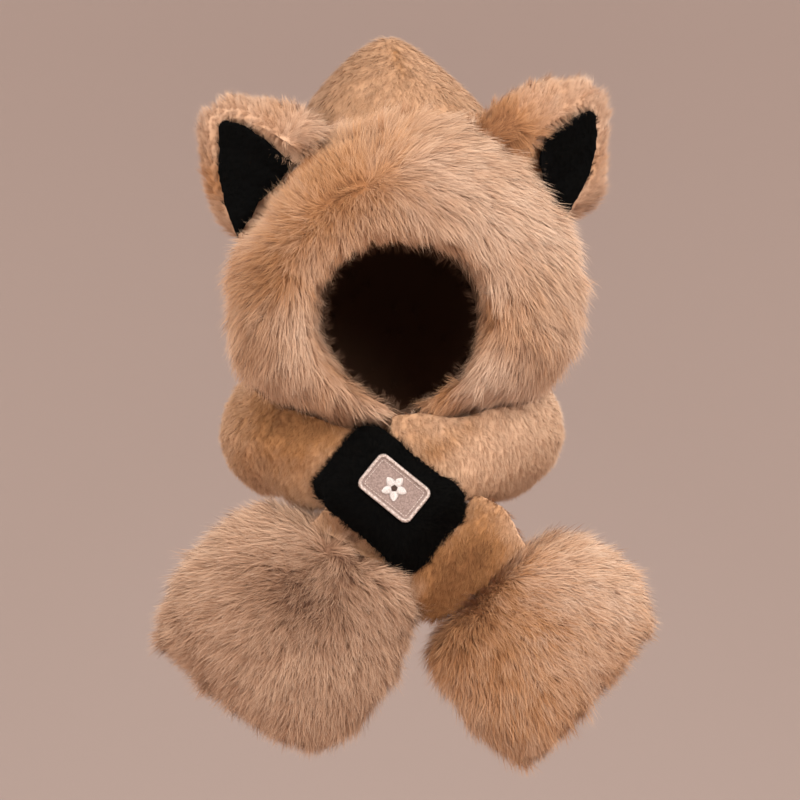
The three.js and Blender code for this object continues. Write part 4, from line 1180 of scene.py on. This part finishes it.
def makeRim(cream):
    edge = patch["edge"]
    shape = ([], [])
    middleLine = (patch["length"] - edge, patch["width"] - edge, patch["corner"] - edge / 2)
    core = roundedLine(*middleLine, patch["coreStep"])[0]
    thread(shape, np.column_stack([core, np.full(len(core), patch["coreRise"])]), patch["coreThread"], 8, True)
    draw = np.random.default_rng(73)
    for middle, outward, forth in zip(*roundedLine(*middleLine, patch["edgeStep"])):
        stitch = []
        lean = patch["slant"] + draw.normal(0, 0.12)
        for part in range(6):
            share = part / 5 * 2 - 1
            flat = middle + outward * share * edge / 2 + forth * share * lean / 2
            rise = patch["edgeHeight"] * math.sqrt(max(1 - 0.94 * share * share, 0)) - patch["edgeSink"]
            stitch.append((*flat, rise))
        thread(shape, stitch, patch["edgeThread"] * draw.uniform(0.9, 1.1))
    length, width = patch["length"] - 2 * patch["runInset"], patch["width"] - 2 * patch["runInset"]
    step = patch["runLength"] + patch["runGap"]
    for middle, _, forth in zip(*roundedLine(length, width, patch["runCorner"], step)):
        stitch = []
        for part in range(4):
            flat = middle + forth * (part / 3 - 0.5) * patch["runLength"]
            stitch.append((*flat, 0.1 + patch["runRise"] * math.sin(part / 3 * math.pi)))
        thread(shape, stitch, patch["runThread"])
    stitched("patch_overlocked_edge", shape, cream, ["patch_edge"])


def makeFlower(cream):
    shape = ([], [])
    draw = np.random.default_rng(79)
    for petal in range(patch["petals"]):
        angle = math.radians(90 + 360 / patch["petals"] * petal)
        ahead = np.array([math.cos(angle), math.sin(angle)])
        beside = np.array([-math.sin(angle), math.cos(angle)])
        reach = patch["petalTo"] - patch["petalFrom"]
        for row in range(int(reach / patch["petalStep"])):
            share = (row + 0.5) * patch["petalStep"] / reach
            bulge = math.sin(math.pi * (0.12 + 0.86 * share) ** 0.85) ** 0.6
            half = patch["petalHalf"] * bulge + draw.normal(0, 0.06)
            dip = patch["petalDip"] * share * share
            crown = patch["petalRise"] * (0.6 + 0.4 * math.sin(math.pi * share))
            stitch = []
            for part in range(6):
                place = part / 5 * 2 - 1
                forth = patch["petalFrom"] + share * reach - dip * (place * place - 0.3)
                stitch.append((*(ahead * forth + beside * place * half), patch["petalLow"] + crown * (1 - place * place)))
            thread(shape, stitch, patch["petalThread"])
    stitched("patch_flower_petals", shape, cream, ["patch_flower"])


def ringOf(count, radius, x=0, y=0):
    angles = [turn / count * 2 * math.pi for turn in range(count)]
    return [(x + radius * math.cos(angle), y + radius * math.sin(angle)) for angle in angles]


def makeKnots():
    shape = ([], [])
    for x, y in [(0, 0), *ringOf(patch["knots"], patch["knotRing"])]:
        ring = [(*spot, patch["knotRise"]) for spot in ringOf(8, patch["knotRadius"], x, y)]
        thread(shape, ring, patch["knotThread"], 6, True)
    brown = clothMaterial("brown thread", (0.075, 0.036, 0.022), (0.035, 0.016, 0.01), 1500, 0.6)
    stitched("patch_flower_knots", shape, brown, ["patch_flower_centre"])


def makePatch():
    makeGround()
    makeRim(clothMaterial("edge thread", (0.68, 0.57, 0.51), (0.36, 0.26, 0.21), 700, 0.6))
    makeFlower(clothMaterial("petal thread", (0.7, 0.64, 0.6), (0.5, 0.43, 0.39), 1100, 0.5))
    makeKnots()


makeRuff()
for looks in paws:
    makePaw(looks)
for looks in ears:
    makeEar(looks)
makeHood()
makeLining()
for looks in bands:
    makeBand(looks)
makeKeeper()
print("fur grown")
makePatch()
print("patch stitched")

for group in list(bpy.data.collections):
    if "tuft" in group.name:
        for template in list(group.objects):
            shape = template.data
            bpy.data.objects.remove(template)
            bpy.data.meshes.remove(shape)
        bpy.data.collections.remove(group)
for tree in list(bpy.data.node_groups):
    bpy.data.node_groups.remove(tree)


# Floor, light and camera
room = {
    "floor": -1.2, "flat": 2.6, "curve": 1.7, "height": 2.4, "sides": 64, "rows": 14,
    "colour": (0.415, 0.315, 0.275, 1), "roughness": 0.9,
}


def makeFloor():
    profile = [(0.0, 0.0), (room["flat"], 0.0)]
    for row in range(1, room["rows"] + 1):
        angle = row / room["rows"] * math.pi / 2
        profile.append((room["flat"] + room["curve"] * math.sin(angle), room["curve"] * (1 - math.cos(angle))))
    profile.append((room["flat"] + room["curve"], room["height"]))
    points, faces = [(0, 0, room["floor"])], []
    for reach, rise in profile[1:]:
        for side in range(room["sides"]):
            angle = side / room["sides"] * 2 * math.pi
            points.append((reach * math.cos(angle), reach * math.sin(angle), room["floor"] + rise))
    for side in range(room["sides"]):
        after = (side + 1) % room["sides"]
        faces.append((0, 1 + side, 1 + after))
        for row in range(len(profile) - 2):
            a, b = 1 + row * room["sides"], 1 + (row + 1) * room["sides"]
            faces.append((a + side, b + side, b + after, a + after))
    mesh = bpy.data.meshes.new("floor")
    mesh.from_pydata(points, [], faces)
    mesh.polygons.foreach_set("use_smooth", [True] * len(mesh.polygons))
    mesh.materials.append(materialOf("floor", {"Base Color": room["colour"], "Roughness": room["roughness"]})[0])
    floor = linked("floor", mesh)


lights = (
    {"name": "key", "place": (1.3, -2.2, 1.2), "size": 1.7, "power": 105},
    {"name": "fill", "place": (-1.9, -2.0, 0.4), "size": 1.8, "power": 48},
    {"name": "rim left", "place": (-1.7, 1.2, 0.9), "size": 1.0, "power": 30},
    {"name": "rim right", "place": (1.7, 1.2, 0.9), "size": 1.0, "power": 34},
)
aim = Vector((-0.004, -0.03, -0.248))
view = {"lens": 146, "place": (-0.004, -2.69, -0.248), "far": 30}
sky = {"Color": (1.0, 0.97, 0.94, 1), "Strength": 0.95}


def makeLights():
    for row in lights:
        lamp = bpy.data.lights.new(row["name"], "AREA")
        lamp.energy = row["power"]
        lamp.size = row["size"]
        item = linked(row["name"], lamp)
        item.location = row["place"]
        item.rotation_euler = (aim - item.location).to_track_quat("-Z", "Y").to_euler()
    world = bpy.data.worlds.new("studio")
    scene.world = world
    world.use_nodes = True
    for title, value in sky.items():
        world.node_tree.nodes["Background"].inputs[title].default_value = value


def makeCamera():
    lens = bpy.data.cameras.new("camera")
    lens.lens = view["lens"]
    lens.clip_end = view["far"]
    camera = linked("camera", lens)
    camera.location = view["place"]
    camera.rotation_euler = (math.pi / 2, 0, 0)
    scene.camera = camera


makeFloor()
makeLights()
makeCamera()
scene.view_settings.view_transform = "Standard"
print("stage set")
